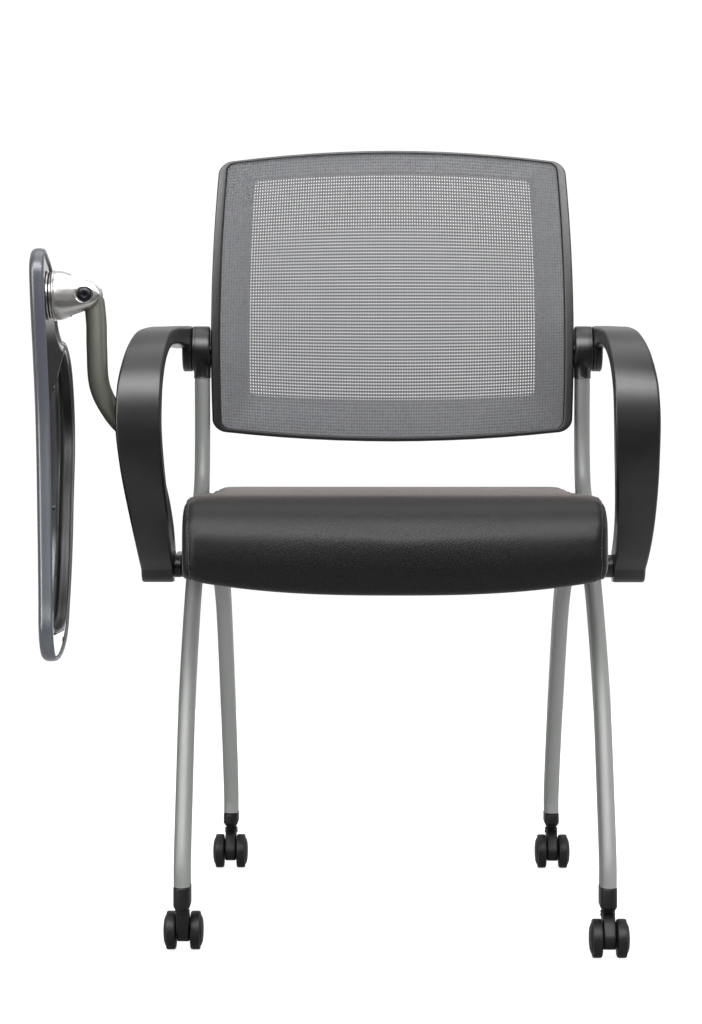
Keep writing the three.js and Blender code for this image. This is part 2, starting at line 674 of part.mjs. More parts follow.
// One wheel of the twin: a rounded tread and a domed outer face around a blind bore.
function casterWheel(hand) {
  const { radius, width, axle, facets } = WHEEL;
  const profile = [[axle + GAP, 0], [17, 0], [radius, 3], [radius, 9.5], [16.5, 12.4],
    [0, width], [0, width - 1.6], [axle + GAP, width - 1.6]];
  const points = [...profile, profile[0]].map(([r, h]) => new THREE.Vector2(r, h));
  const wheel = new THREE.LatheGeometry(points, facets);
  wheel.rotateY(Math.PI / facets).rotateZ(-Math.PI / 2).translate(WHEEL.inner, 0, 0);
  if (hand < 0) wheel.rotateZ(Math.PI);
  return wheel.translate(0, WHEEL.trail, AXLE_Z);
}

function addCaster(caster) {
  const group = new THREE.Group();
  group.position.set(caster.x, caster.y, 0);
  group.rotation.z = caster.trail > 0 ? 0 : Math.PI;
  chair.add(group);
  const name = `caster_${caster.name}`;
  place(`${name}_stem`, casterStem(caster), blackSteel(), group);
  place(`${name}_hood`, casterHood(), blackPlastic(), group);
  place(`${name}_axle`, casterAxle(), blackSteel(), group);
  place(`${name}_wheel_a`, casterWheel(-1), blackPlastic(), group);
  place(`${name}_wheel_b`, casterWheel(1), blackPlastic(), group);
  place(`${name}_sleeve`, casterSleeve(caster.x, caster.y, caster.sleeve), blackPlastic());
}

// ---- assembly --------------------------------------------------------------------------

[RIGHT, LEFT].forEach((side) => {
  place(`side_tube_${side.name}`, sideTube(side), silverPaint());
  place(`rear_leg_${side.name}`, rearLeg(side), silverPaint());
  place(`hub_housing_${side.name}`, hubHousing(side), blackPlastic());
  place(`tilt_bush_${side.name}`, tiltBush(side), softBlack());
  place(`arm_${side.name}`, arm(side), blackPlastic());
  place(`arm_boss_${side.name}`, armBoss(side), blackSteel());
  place(`arm_bolt_${side.name}`, armBolt(side), blackSteel());
  place(`back_pivot_pin_${side.name}`, backPivotPin(side), blackSteel());
  place(`seat_pivot_bolt_${side.name}`, seatPivotBolt(side), blackSteel());
  place(`seat_hinge_plate_${side.name}`, seatHingePlate(side), blackSteel());
  place(`seat_stop_pad_${side.name}`, seatStopPad(side), softBlack());
});
place('cross_tube', crossTube(), silverPaint());
CASTERS.forEach(addCaster);

place('back_frame', backFrame(), blackPlastic());
place('back_mesh', backMesh(), greyMesh());

place('seat_cushion', seatCushion(), blackFabric());
place('seat_pan', seatPan(), blackPlastic());

place('tablet_tube', tabletTube(), olivePaint());
place('tablet_tube_lug', tabletTubeLug(), blackSteel());
place('tablet_knuckle', tabletKnuckle(), polishedAluminium());
place('tablet_bracket', tabletBracket(), polishedAluminium(), foldingTablet);
place('tablet_pivot_bolt', tabletPivotBolt(), blackSteel(), foldingTablet);
place('tablet_pivot_nut', tabletPivotNut(), blackSteel(), foldingTablet);
place('tablet_top', tabletTop(), greyLaminate(), foldingTablet);
place('tablet_underside', tabletUnderside(), glossBlack(), foldingTablet);
place('tablet_swivel_plate', swivelPlate(), polishedAluminium(), foldingTablet);

export default chair;
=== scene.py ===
# Looks of the student desk chair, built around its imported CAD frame.
#
# Shapes are worked out in chair millimetres: X = 0 is the chair's plane of symmetry, the
# sitter faces -Y and the floor is Z = 0. The pivot of the flip-up seat ties them to the frame.
import json
import math

import bmesh
import bpy
import numpy as np
from mathutils import Matrix, Vector
from mathutils.bvhtree import BVHTree

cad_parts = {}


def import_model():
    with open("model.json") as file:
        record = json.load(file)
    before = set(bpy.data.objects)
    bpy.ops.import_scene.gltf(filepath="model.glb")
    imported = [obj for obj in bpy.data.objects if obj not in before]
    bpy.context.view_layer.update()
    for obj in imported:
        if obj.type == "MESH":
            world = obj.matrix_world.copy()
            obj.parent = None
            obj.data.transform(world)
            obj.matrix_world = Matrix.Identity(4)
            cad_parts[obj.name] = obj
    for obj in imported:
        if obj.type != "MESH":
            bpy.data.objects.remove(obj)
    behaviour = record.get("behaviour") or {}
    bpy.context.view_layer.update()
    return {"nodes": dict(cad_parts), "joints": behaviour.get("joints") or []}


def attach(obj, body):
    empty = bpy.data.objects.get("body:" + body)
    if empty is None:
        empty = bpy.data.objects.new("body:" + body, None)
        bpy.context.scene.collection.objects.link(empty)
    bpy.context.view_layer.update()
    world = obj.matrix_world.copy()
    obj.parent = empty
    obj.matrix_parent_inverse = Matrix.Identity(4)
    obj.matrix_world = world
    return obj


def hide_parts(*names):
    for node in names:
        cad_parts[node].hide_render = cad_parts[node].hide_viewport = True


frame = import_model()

NODES = frame["nodes"]
JOINTS = {joint["name"]: joint for joint in frame["joints"]}
MM = 0.001
SEAT_PIVOT = Vector((0, 75, 455))
ORIGIN = Vector(JOINTS["seat_flip"]["pos_m"]) / MM - SEAT_PIVOT

# ---- driving sizes, in chair millimetres -------------------------------------------------

SIDES = {"right": -1, "left": 1}  # the sitter's right is -X, where the tablet hangs
TUBE_WIDTH, TUBE_DEPTH = 17, 38
SIDE_X, REAR_X, STEM_Y = 225.5, 198, 235
CROSS_Y, CROSS_Z, CROSS_RADIUS = -15, 392, 15
HUB_Y, HUB_Z, HUB_RADIUS = 113, 639, 27
HUB_INNER, HUB_OUTER = 216, 237
BACK_HALF, BACK_BOTTOM, BACK_TOP, BACK_BOW = 215, 528, 878.4, 34
WHEEL_RADIUS, WHEEL_TRAIL = 20.4, 18
AXLE_Z = WHEEL_RADIUS * math.cos(math.pi / 20)
PIVOT = Vector(JOINTS["tablet_flip"]["pos_m"]) / MM - ORIGIN
TABLET_LEAN = math.radians(-1.6)


# ---- materials ---------------------------------------------------------------------------


def linear(colour):
    """An sRGB colour, 0 to 255, as the linear values that shaders take."""
    scaled = [channel / 255 for channel in colour]
    return [c / 12.92 if c <= 0.04045 else ((c + 0.055) / 1.055) ** 2.4 for c in scaled] + [1]


def add_node(tree, kind, inputs=None, **settings):
    """A shader node whose inputs are values, or outputs of other nodes."""
    made = tree.nodes.new(kind)
    for key, value in settings.items():
        setattr(made, key, value)
    for key, value in (inputs or {}).items():
        if isinstance(value, bpy.types.NodeSocket):
            tree.links.new(value, made.inputs[key])
        else:
            made.inputs[key].default_value = value
    return made


class Finish:
    """A material with one principled shader, and short ways to build detail into it."""

    def __init__(self, name, colour, roughness, metallic=0.0, **inputs):
        self.material = bpy.data.materials.new(name)
        self.material.use_nodes = True
        self.tree = self.material.node_tree
        self.shader = self.tree.nodes["Principled BSDF"]
        self.colour = linear(colour)
        self.set("Base Color", self.colour)
        self.set("Roughness", roughness)
        self.set("Metallic", metallic)
        for key, value in inputs.items():
            self.set(key.replace("_", " "), value)
        self.height = None
        self.place = self.node("ShaderNodeTexCoord").outputs["Object"]

    def set(self, name, value):
        self.shader.inputs[name].default_value = value

    def node(self, kind, inputs=None, **settings):
        return add_node(self.tree, kind, inputs, **settings)

    def math(self, operation, first, second=0.0, clamp=False):
        inputs = {0: first, 1: second}
        return self.node("ShaderNodeMath", inputs, operation=operation, use_clamp=clamp).outputs[0]

    def noise(self, scale, detail=3.0, stretch=(1, 1, 1), roughness=0.5, turn=(0, 0, 0)):
        """Noise of about `scale` features to the metre."""
        place = self.node("ShaderNodeMapping", {"Vector": self.place, "Rotation": turn}).outputs[0]
        place = self.node("ShaderNodeMapping", {"Vector": place, "Scale": stretch}).outputs[0]
        inputs = {"Vector": place, "Scale": scale, "Detail": detail, "Roughness": roughness}
        return self.node("ShaderNodeTexNoise", inputs).outputs["Fac"]

    def bands(self, period, turn=(0, 0, 0), sharpness=1.0, waver=0.0):
        """Parallel ridges, `period` metres apart across X turned by `turn`, 0 to 1."""
        moved = self.node("ShaderNodeMapping", {"Vector": self.place, "Rotation": turn})
        across = self.node("ShaderNodeSeparateXYZ", {0: moved.outputs[0]}).outputs[0]
        if waver:
            across = self.math("ADD", across, self.math("MULTIPLY", self.noise(90), waver))
        phase = self.math("MULTIPLY", across, 2 * math.pi / period)
        wave = self.math("MULTIPLY", self.math("ADD", self.math("SINE", phase), 1), 0.5)
        return self.math("POWER", wave, sharpness)

    def ramp(self, factor, *stops):
        """A colour ramp through (place, sRGB colour) stops."""
        made = self.node("ShaderNodeValToRGB", {"Fac": factor})
        points = made.color_ramp.elements
        while len(points) < len(stops):
            points.new(0.5)
        for point, (place, colour) in zip(points, stops):
            point.position = place
            point.color = linear(colour)
        return made.outputs["Color"]

    def span(self, factor, low, high):
        """Factor 0 to 1 spread from low to high."""
        inputs = {"Value": factor, "To Min": low, "To Max": high}
        return self.node("ShaderNodeMapRange", inputs).outputs["Result"]

    def tint(self, factor, darker, lighter):
        """Base colour wandering between two sRGB colours."""
        colour = self.ramp(factor, (0.3, darker), (0.7, lighter))
        self.tree.links.new(colour, self.shader.inputs["Base Color"])
        return self

    def gloss(self, factor, low, high):
        self.tree.links.new(self.span(factor, low, high), self.shader.inputs["Roughness"])
        return self

    def relief(self, factor, depth):
        """Bump `depth` metres high."""
        inputs = {"Height": factor, "Distance": depth, "Strength": 1.0}
        if self.height is not None:
            inputs["Normal"] = self.height
        self.height = self.node("ShaderNodeBump", inputs).outputs["Normal"]
        self.tree.links.new(self.height, self.shader.inputs["Normal"])
        return self

    def worn(self, colour, reach=0.0012):
        """A lighter, rubbed tone on convex edges."""
        bevel = self.node("ShaderNodeBevel", {"Radius": reach}, samples=4)
        true_normal = self.node("ShaderNodeNewGeometry").outputs["Normal"]
        facing = {0: bevel.outputs[0], 1: true_normal}
        dot = self.node("ShaderNodeVectorMath", facing, operation="DOT_PRODUCT")
        edge = self.math("MULTIPLY", self.math("SUBTRACT", 1, dot.outputs["Value"]), 6, clamp=True)
        rubbed = self.math("MULTIPLY", edge, self.span(self.noise(60, 2), 0.15, 0.75))
        source = self.shader.inputs["Base Color"]
        base = source.links[0].from_socket if source.links else None
        mix = self.node("ShaderNodeMix", {"Factor": rubbed}, data_type="RGBA")
        if base:
            self.tree.links.new(base, mix.inputs[6])
        else:
            mix.inputs[6].default_value = self.colour
        mix.inputs[7].default_value = linear(colour)
        self.tree.links.new(mix.outputs[2], source)
        return self


def silver_tube():
    """Silver-grey powder coat: fine orange peel over a metallic flake."""
    made = Finish("silver_tube", (134, 136, 134), 0.55, 0.12)
    flake = made.noise(2600, 2)
    made.tint(flake, (126, 128, 126), (142, 144, 142))
    made.gloss(made.noise(500, 3), 0.5, 0.62)
    return made.relief(made.noise(1100, 2), 0.00004).worn((205, 208, 210)).material


def olive_tube():
    made = Finish("olive_tube", (98, 99, 90), 0.4, 0.35, Coat_Weight=0.2, Coat_Roughness=0.25)
    made.tint(made.noise(2400, 2), (90, 91, 82), (107, 108, 99))
    made.gloss(made.noise(500, 3), 0.38, 0.5)
    return made.relief(made.noise(1000, 2), 0.00004).worn((160, 162, 152)).material


def satin_plastic(name="black_plastic", colour=(15, 15, 16), low=0.32, high=0.42, specular=0.5):
    """Moulded nylon with a fine spark-eroded grain."""
    made = Finish(name, colour, 0.4, Specular_IOR_Level=specular)
    lighter = [channel + 6 for channel in colour]
    darker = [channel - 4 for channel in colour]
    made.tint(made.noise(35, 4), darker, lighter)
    made.gloss(made.noise(240, 4), low, high)
    cells = made.node("ShaderNodeTexVoronoi", {"Vector": made.place, "Scale": 1500.0})
    lighter = [channel + 34 for channel in colour]
    return made.relief(cells.outputs["Distance"], 0.000035).worn(lighter).material


def border_painted_reflection():
    """Satin plastic of the border that the net is stretched over, coloured light grey-blue: a painted
    reflection of the light above on a black plastic border, seen through the net's holes.
    """
    # Painted reflection: the grey-blue base colour stands in for the overhead light mirrored in the black
    # border.
    made = Finish("border_painted_reflection", (126, 130, 138), 0.5, Specular_IOR_Level=1.0)
    made.tint(made.noise(35, 4), (120, 124, 132), (132, 136, 144))
    made.gloss(made.noise(240, 4), 0.44, 0.54)
    return made.relief(made.noise(900, 2), 0.00003).material


def black_rubber():
    made = Finish("black_rubber", (22, 22, 22), 0.8)
    made.tint(made.noise(90, 4), (17, 17, 17), (30, 30, 30))
    return made.relief(made.noise(900, 3), 0.00006).material


def dark_steel():
    """Black-oxide screws and plates."""
    made = Finish("dark_steel", (38, 39, 42), 0.32, 0.85)
    made.tint(made.noise(400, 3), (30, 31, 34), (50, 51, 54))
    made.gloss(made.noise(300, 4, (1, 1, 6)), 0.24, 0.42)
    return made.relief(made.noise(1800, 2), 0.00002).worn((110, 112, 115)).material


def polished_aluminium():
    made = Finish("polished_aluminium", (196, 194, 192), 0.26, 0.95)
    made.tint(made.noise(70, 4), (184, 183, 184), (206, 203, 199))
    made.gloss(made.noise(90, 2, (1, 1, 3)), 0.24, 0.36)
    return made.relief(made.noise(120, 2), 0.00002).material


def net_yarn():
    """Polyester net yarn: fine filaments along each strand."""
    made = Finish("back_mesh_fabric", (104, 105, 108), 0.6, Sheen_Weight=0.2, Sheen_Roughness=0.4)
    made.tint(made.noise(320, 3), (90, 91, 94), (116, 117, 120))
    filament = made.bands(0.00028, (0, math.radians(90), 0))
    return made.relief(filament, 0.00005).material


def seat_fabric():
    """Black woven twill: diagonal ribs with a soft brown sheen at grazing angles."""
    made = Finish("seat_fabric", (20, 18, 19), 0.6, Sheen_Weight=0.3, Sheen_Roughness=0.3,
                  Specular_IOR_Level=0.24)
    made.set("Sheen Tint", linear((205, 190, 185)))
    slope = (0, math.radians(38), 0)
    rib = made.bands(0.0021, slope, waver=0.0012)
    yarn = made.noise(480, 2, (0.35, 0.35, 1.3), turn=slope)
    weave = made.math("ADD", made.math("MULTIPLY", rib, 0.35), made.math("MULTIPLY", yarn, 0.75))
    made.tint(weave, (5, 4, 5), (19, 16, 17))
    made.gloss(weave, 0.54, 0.42)
    return made.relief(weave, 0.00028).material


def thread():
    made = Finish("seat_thread", (46, 44, 45), 0.6, Sheen_Weight=0.3)
    return made.relief(made.bands(0.0006, (0.6, 0.6, 0.3)), 0.0001).material


def laminate():
    """Blue-grey moulded edge and writing face with a faint speckle."""
    made = Finish("tablet_laminate", (82, 85, 93), 0.34, Coat_Weight=0.25, Coat_Roughness=0.22)
    made.tint(made.noise(1500, 2), (75, 78, 86), (90, 93, 102))
    made.gloss(made.noise(220, 4), 0.28, 0.42)
    return made.relief(made.noise(1300, 2), 0.00003).worn((150, 154, 166), 0.0008).material


def gloss_black():
    made = Finish("gloss_black", (16, 17, 20), 0.06, Coat_Weight=0.5, Coat_Roughness=0.03)
    made.gloss(made.noise(45, 4), 0.04, 0.1)
    return made.relief(made.noise(60, 2), 0.00002).material


def pale_floor():
    """Pale paper lit from beneath, so that it meets the backdrop without a line."""
    made = Finish("pale_floor", (196, 196, 196), 0.9, Specular_IOR_Level=0.1)
    made.set("Emission Color", (1, 1, 1, 1))
    seen = made.node("ShaderNodeLightPath").outputs["Is Camera Ray"]
    glow = made.math("ADD", made.math("MULTIPLY", seen, 0.65), 0.2)
    made.tree.links.new(glow, made.shader.inputs["Emission Strength"])
    return made.tint(made.noise(3, 2), (195, 195, 195), (197, 197, 197)).material


SILVER, OLIVE, PLASTIC, BORDER_PAINTED_REFLECTION = silver_tube(), olive_tube(), satin_plastic(), border_painted_reflection()
CASTER_PLASTIC = satin_plastic("caster_plastic", (13, 13, 14), 0.4, 0.55, 0.25)
RUBBER, STEEL, ALUMINIUM = black_rubber(), dark_steel(), polished_aluminium()
NET, FABRIC, THREAD, LAMINATE, GLOSS = net_yarn(), seat_fabric(), thread(), laminate(), gloss_black()


# ---- mesh helpers: a shape is (points, faces) in chair millimetres -----------------------


def joined(*shapes):
    points, faces = [], []
    for some_points, some_faces in shapes:
        faces += [[index + len(points) for index in face] for face in some_faces]
        points += list(some_points)
    return points, faces


def moved(shape, change):
    points, faces = shape
    return [change(Vector(point)) for point in points], faces


def mirrored(shape):
    points, faces = shape
    return [(-x, y, z) for x, y, z in points], [face[::-1] for face in faces]


def on_side(side, shape):
    return shape if SIDES[side] > 0 else mirrored(shape)


def linked(name, data):
    """A new object in the scene."""
    made = bpy.data.objects.new(name, data)
    bpy.context.scene.collection.objects.link(made)
    return made


def mesh_object(name, shape):
    points, faces = shape
    mesh = bpy.data.meshes.new(name)
    mesh.from_pydata([(ORIGIN + Vector(point)) * MM for point in points], [], faces)
    return linked(name, mesh)


def dress(made, material, body, *nodes):
    """Smooth shading and a finish for a piece that rides on a body and stands for CAD nodes."""
    mesh = made.data
    mesh.materials.clear()
    mesh.materials.append(material)
    mesh.polygons.foreach_set("use_smooth", [True] * len(mesh.polygons))
    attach(made, body)
    if nodes:
        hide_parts(*nodes)


def piece(name, shape, material, body, *nodes, smooth_angle=38, bevel=0.0):
    """A piece made from a shape, with sharp edges past an angle and a bevel in millimetres."""
    made = mesh_object(name, shape)
    build = bmesh.new()
    build.from_mesh(made.data)
    bmesh.ops.remove_doubles(build, verts=build.verts, dist=0.00001)
    bmesh.ops.recalc_face_normals(build, faces=build.faces)
    build.to_mesh(made.data)
    build.free()
    dress(made, material, body, *nodes)
    made.data.set_sharp_from_angle(angle=math.radians(smooth_angle))
    if bevel:
        rounding = made.modifiers.new("rounded_edges", "BEVEL")
        rounding.width = bevel * MM
        rounding.segments = 3
        rounding.limit_method = "ANGLE"
        rounding.angle_limit = math.radians(smooth_angle)
        rounding.harden_normals = True
    return made


def bridge(rings, closed_ring=True, caps=True, closed_path=False):
    """Faces over a list of rings with the same number of points."""
    size = len(rings[0])
    points = [point for ring in rings for point in ring]
    faces = []
    last = len(rings) if closed_path else len(rings) - 1
    for i in range(last):
        low, high = i * size, (i + 1) % len(rings) * size
        for j in range(size if closed_ring else size - 1):
            k = (j + 1) % size
            faces.append([low + j, low + k, high + k, high + j])
    if caps and not closed_path:
        faces.append(list(range(size))[::-1])
        faces.append([(len(rings) - 1) * size + j for j in range(size)])
    return points, faces


def turned(profile, centre, axis, steps=48, hexagonal=()):
    """A profile of (radius, height) turned about an axis. Rings listed as hexagonal have six sides."""
    axis = Vector(axis).normalized()
    first = axis.orthogonal().normalized()
    second = axis.cross(first)
    closed = profile[0] == profile[-1]
    rings = []
    for place, (radius, height) in enumerate(profile[:-1] if closed else profile):
        ring = []
        for step in range(steps):
            angle = 2 * math.pi * step / steps
            reach = max(radius, 0.001)
            if place in hexagonal:
                reach *= math.cos(math.pi / 6) / math.cos(angle % (math.pi / 3) - math.pi / 6)
            spoke = first * math.cos(angle) + second * math.sin(angle)
            ring.append(Vector(centre) + axis * height + spoke * reach)
        rings.append(ring)
    return bridge(rings, caps=not closed, closed_path=closed)


def rod(radius, low, high):
    """Profile of a plain cylinder, to be turned."""
    return [(0, low), (radius, low), (radius, high), (0, high)]


def flat(points):
    return [(a, b, 0) for a, b in points]


def smooth_path(points, per_span=8, closed=False):
    """Centripetal Catmull-Rom curve through the points."""
    points = [Vector(point) for point in points]
    if closed:
        chain = [points[-1]] + points + points[:2]
    else:
        chain = [2 * points[0] - points[1]] + points + [2 * points[-1] - points[-2]]
    path = []
    for a, b, c, d in zip(chain, chain[1:], chain[2:], chain[3:]):
        t0 = 0.0
        t1 = t0 + math.sqrt((b - a).length)
        t2 = t1 + math.sqrt((c - b).length)
        t3 = t2 + math.sqrt((d - c).length)
        for step in range(per_span):
            t = t1 + (t2 - t1) * step / per_span
            a1 = a.lerp(b, (t - t0) / (t1 - t0))
            a2 = b.lerp(c, (t - t1) / (t2 - t1))
            a3 = c.lerp(d, (t - t2) / (t3 - t2))
            b1 = a1.lerp(a2, (t - t0) / (t2 - t0))
            b2 = a2.lerp(a3, (t - t1) / (t3 - t1))
            path.append(b1.lerp(b2, (t - t1) / (t2 - t1)))
    if not closed:
        path.append(points[-1])
    return path


def tangents(path):
    ends = [path[0]] + list(path) + [path[-1]]
    return [(after - before).normalized() for before, after in zip(ends, ends[2:])]


def swept(path, section, sideways=Vector((1, 0, 0)), scales=None, caps=True):
    """A section of (across, outward) points swept along a path. Across stays near `sideways`."""
    rings = []
    across = Vector(sideways)
    for index, (point, along) in enumerate(zip(path, tangents(path))):
        across = (across - along * across.dot(along)).normalized()
        outward = across.cross(along)
        wide, deep = scales[index] if scales else (1, 1)
        rings.append([point + across * (a * wide) + outward * (b * deep) for a, b in section])
    return bridge(rings, caps=caps)


def oval(width, depth, steps=14):
    """Flat-oval section: straight flanks and round ends."""
    radius = width / 2
    straight = depth / 2 - radius
    top = [(radius * math.cos(math.pi * i / steps), straight + radius * math.sin(math.pi * i / steps))
           for i in range(steps + 1)]
    return top + [(-a, -b) for a, b in top]


def circle(radius, steps=28):
    return [(radius * math.cos(2 * math.pi * i / steps), radius * math.sin(2 * math.pi * i / steps))
            for i in range(steps)]


def rounded_box(half_a, half_b, radius, steps=5):
    """Rectangle section with round corners, anticlockwise."""
    section = []
    radius = min(radius, half_a, half_b)
    for corner, (a, b) in enumerate([(1, 1), (-1, 1), (-1, -1), (1, -1)]):
        for i in range(steps + 1):
            angle = math.pi / 2 * (corner + i / steps)
            section.append((a * (half_a - radius) + radius * math.cos(angle),
                            b * (half_b - radius) + radius * math.sin(angle)))
    return section


def plate(outline, low, high, place):
    """A flat outline between two heights, put in space by place(a, b, height)."""
    rings = [[place(a, b, height) for a, b in outline] for height in (low, high)]
    return bridge(rings)


def arc(a, b, radius, start, end, steps=12):
    return [(a + radius * math.cos(start + (end - start) * i / steps),
             b + radius * math.sin(start + (end - start) * i / steps)) for i in range(steps + 1)]


def cut(made, shape):
    """Cuts a closed shape out of a piece."""
    tool = piece(made.name + "_tool", shape, RUBBER, "frame")
    hollow = made.modifiers.new("cut", "BOOLEAN")
    hollow.object = tool
    hollow.operation = "DIFFERENCE"
    hollow.solver = "EXACT"
    apply_modifiers(made)
    bpy.data.objects.remove(tool)


def apply_modifiers(made):
    bpy.context.view_layer.update()
    evaluated = made.evaluated_get(bpy.context.evaluated_depsgraph_get())
    mesh = bpy.data.meshes.new_from_object(evaluated)
    made.modifiers.clear()
    made.data = mesh


def socket_screw(centre, axis, radius, height, base=0.0, socket=0.5):
    """A low-domed screw head with a hexagon socket."""
    rim = radius * 0.22
    key = radius * socket
    top, floor = base + height, base + height * 0.25
    profile = [(0, base), (radius, base), (radius, top - rim), (radius - rim * 0.3, top - rim * 0.3),
               (radius - rim, top), (key * 1.25, top + 0.15), (key * 1.12, top), (key * 1.12, floor),
               (0, floor)]
    return turned(profile, centre, axis, 48, hexagonal=(6, 7))


def weld_bead(path, radius=1.7, ripple=0.35):
    """A closed weld bead with overlapping ripples."""
    rings = []
    count = len(path)
    for i, point in enumerate(path):
        along = (path[(i + 1) % count] - path[i - 1]).normalized()
        across = along.orthogonal().normalized()
        outward = along.cross(across)
        swell = radius + ripple * abs(math.sin(i * 0.9))
        rings.append([point + (across * a + outward * b) * swell for a, b in circle(1, 10)])
    return bridge(rings, closed_path=True)


# ---- frame -------------------------------------------------------------------------------


def in_plane(x, points):
    return [Vector((x, y, z)) for y, z in points]


def side_tubes():
    """Front leg, seat rise and upright, bent from one flat-oval tube."""
    centreline = [
        (-STEM_Y, 73.2), (-STEM_Y, 92), (-206, 162), (-157, 258), (-66, 354), (-12, 394),
        (64, 448), (100, 478), (HUB_Y, 520), (HUB_Y, 600), (HUB_Y, 616),
    ]
    for side, sign in SIDES.items():
        path = smooth_path(in_plane(sign * SIDE_X, centreline), 10)
        tube = swept(path, oval(TUBE_WIDTH, TUBE_DEPTH))
        piece(f"side_tube_{side}_shell", tube, SILVER, "frame", f"side_tube_{side}")


def rear_legs():
    """Rear legs, flattened where each is saddled and welded to the cross tube."""
    joint = (10, 384)  # where the leg's middle meets the cross tube's rear
    centreline = [(STEM_Y, 66.2), (STEM_Y, 84), (205, 146), (160, 219), (68, 344), joint, (-9, 390.5)]
    for side, sign in SIDES.items():
        path = smooth_path(in_plane(sign * REAR_X, centreline), 10)
        scales = [(1, 1)] * (len(path) - 12) + [(1, 1 - 0.27 * (i / 11) ** 1.5) for i in range(12)]
        leg = swept(path, oval(TUBE_WIDTH, TUBE_DEPTH), scales=scales)
        along = tangents(path)[-1]
        start = Vector((sign * REAR_X, *joint))
        bead = []
        for a, b in oval(TUBE_WIDTH + 1, 29, 10):
            point = start + Vector((a, 0, 0)) + Vector((1, 0, 0)).cross(along) * b
            lift = max(0.0, CROSS_RADIUS ** 2 - (point.z - CROSS_Z) ** 2)
            bead.append(Vector((point.x, CROSS_Y + math.sqrt(lift) + 1.5, point.z)))
        piece(f"rear_leg_{side}_shell", joined(leg, weld_bead(bead)), SILVER, "frame", f"rear_leg_{side}")


def cross_tube():
    reach = SIDE_X - TUBE_WIDTH / 2
    tube = turned(rod(CROSS_RADIUS, -reach, reach), (0, CROSS_Y, CROSS_Z), (1, 0, 0), 56)
    beads = []
    for sign in SIDES.values():
        around = circle(CROSS_RADIUS + 0.6, 64)
        beads.append(weld_bead([Vector((sign * (reach - 1), CROSS_Y + a, CROSS_Z + b)) for a, b in around]))
    piece("cross_tube_shell", joined(tube, *beads), SILVER, "frame", "cross_tube")


def seat_pivots():
    outer = SIDE_X + TUBE_WIDTH / 2
    for side, sign in SIDES.items():
        where = (sign * outer, SEAT_PIVOT.y, SEAT_PIVOT.z), (sign, 0, 0)
        washer = turned([(0, 0.1), (10, 0.1), (10.6, 0.5), (10.6, 1.1), (10, 1.5), (0, 1.5)], *where)
        bolt = joined(washer, socket_screw(*where, 8.4, 3.2, 1.3), turned(rod(5, -21, 0.5), *where, 24))
        piece(f"seat_pivot_bolt_{side}_head", bolt, STEEL, "frame", f"seat_pivot_bolt_{side}")


def hubs():
    """Plastic housings at the top of the uprights, with a collar down over the tube."""
    for side, sign in SIDES.items():
        centre = (sign * HUB_INNER, HUB_Y, HUB_Z)
        width = HUB_OUTER - HUB_INNER
        drum = turned([
            (0, 0.2), (HUB_RADIUS - 2.4, 0.2), (HUB_RADIUS - 0.7, 0.9), (HUB_RADIUS, 2.6),
            (HUB_RADIUS, width - 4.6), (HUB_RADIUS - 0.6, width - 4.4), (HUB_RADIUS - 0.6, width - 3.8),
            (HUB_RADIUS, width - 3.6), (HUB_RADIUS, width - 1.4), (HUB_RADIUS - 1.2, width), (0, width),
        ], centre, (sign, 0, 0), 72)
        levels = [(604.4, 0.3), (604.9, 0.0), (606, -0.1), (616, 0.0), (620, 0.7), (624, 2.0), (630, 3.0)]
        rings = []
        for z, flare in levels:
            section = oval(18.8 + 2 * min(flare, 1), 40 + 3 * flare)
            rings.append([Vector((sign * SIDE_X + a, HUB_Y + b, z)) for a, b in section])
        housing = joined(drum, bridge(rings))
        piece(f"hub_housing_{side}_shell", housing, PLASTIC, "frame", f"hub_housing_{side}")


# ---- arms --------------------------------------------------------------------------------

# Stations along the loop arm, from the hub to the cross tube: outer edge (y, z), inner edge
# (y, z), and how far in and out the arm reaches from the chair's middle.
ARM_STATIONS = [
    ((113, 666), (113, 640), 237.4, 258),
    ((60, 665.3), (60, 642), 238, 268),
    ((0, 664), (0, 645.5), 240, 279),
    ((-52, 657), (-44, 641.5), 243.5, 285.5),
    ((-92, 636), (-78, 625), 247, 292.5),
    ((-116, 602), (-97, 596), 249.4, 298.5),
    ((-122, 560), (-102, 560), 250, 300.4),
    ((-113, 505), (-92, 518), 250, 297.8),
    ((-88, 449), (-68, 470), 250, 292.8),
    ((-56, 408), (-36, 436), 250, 288.6),
    ((-33, 388), (-1, 409), 250, 286.4),
]
ARM_SET = 7  # both arms sit a little to the sitter's right between their two fixings


def smooth_step(low, high, value):
    share = min(1, max(0, (value - low) / (high - low)))
    return share * share * (3 - 2 * share)


def set_over(point):
    """Moves a point of an arm over by ARM_SET, fading out towards both fixings."""
    lift = smooth_step(402, 570, point.z)
    reach = 1 - smooth_step(-60, 100, point.y)
    return Vector((point.x - ARM_SET * lift * reach, point.y, point.z))


def arm_rings():
    """Rounded sections of the left arm, with round ends at the hub and about the bolt."""
    outer = smooth_path(flat(outside for outside, _, _, _ in ARM_STATIONS), 7)
    inner = smooth_path(flat(inside for _, inside, _, _ in ARM_STATIONS), 7)
    reach = smooth_path(flat((low, high) for _, _, low, high in ARM_STATIONS), 7)
    stations = [(a, b, c.x, c.y) for a, b, c in zip(outer, inner, reach)]
    stations = round_end(stations[0], (HUB_Y, 653), 1)[::-1] + stations
    stations += round_end(stations[-1], (CROSS_Y, CROSS_Z), -1)
    rings = []
    for outside, inside, low, high in stations:
        middle = (outside + inside) / 2
        half = (outside - inside) / 2
        thick = max(half.length, 0.4)
        across = (high - low) / 2
        crown = min(0.9, thick * 0.12)
        ring = []
        for a, b in rounded_box(across, thick, min(3.2, thick * 0.8)):
            b += crown * (1 - (a / across) ** 2) * (1 if b > 0 else -0.6)
            spot = middle + half.normalized() * b
            ring.append(Vector(((low + high) / 2 + a, spot.x, spot.y)))
        rings.append(ring)
    return rings


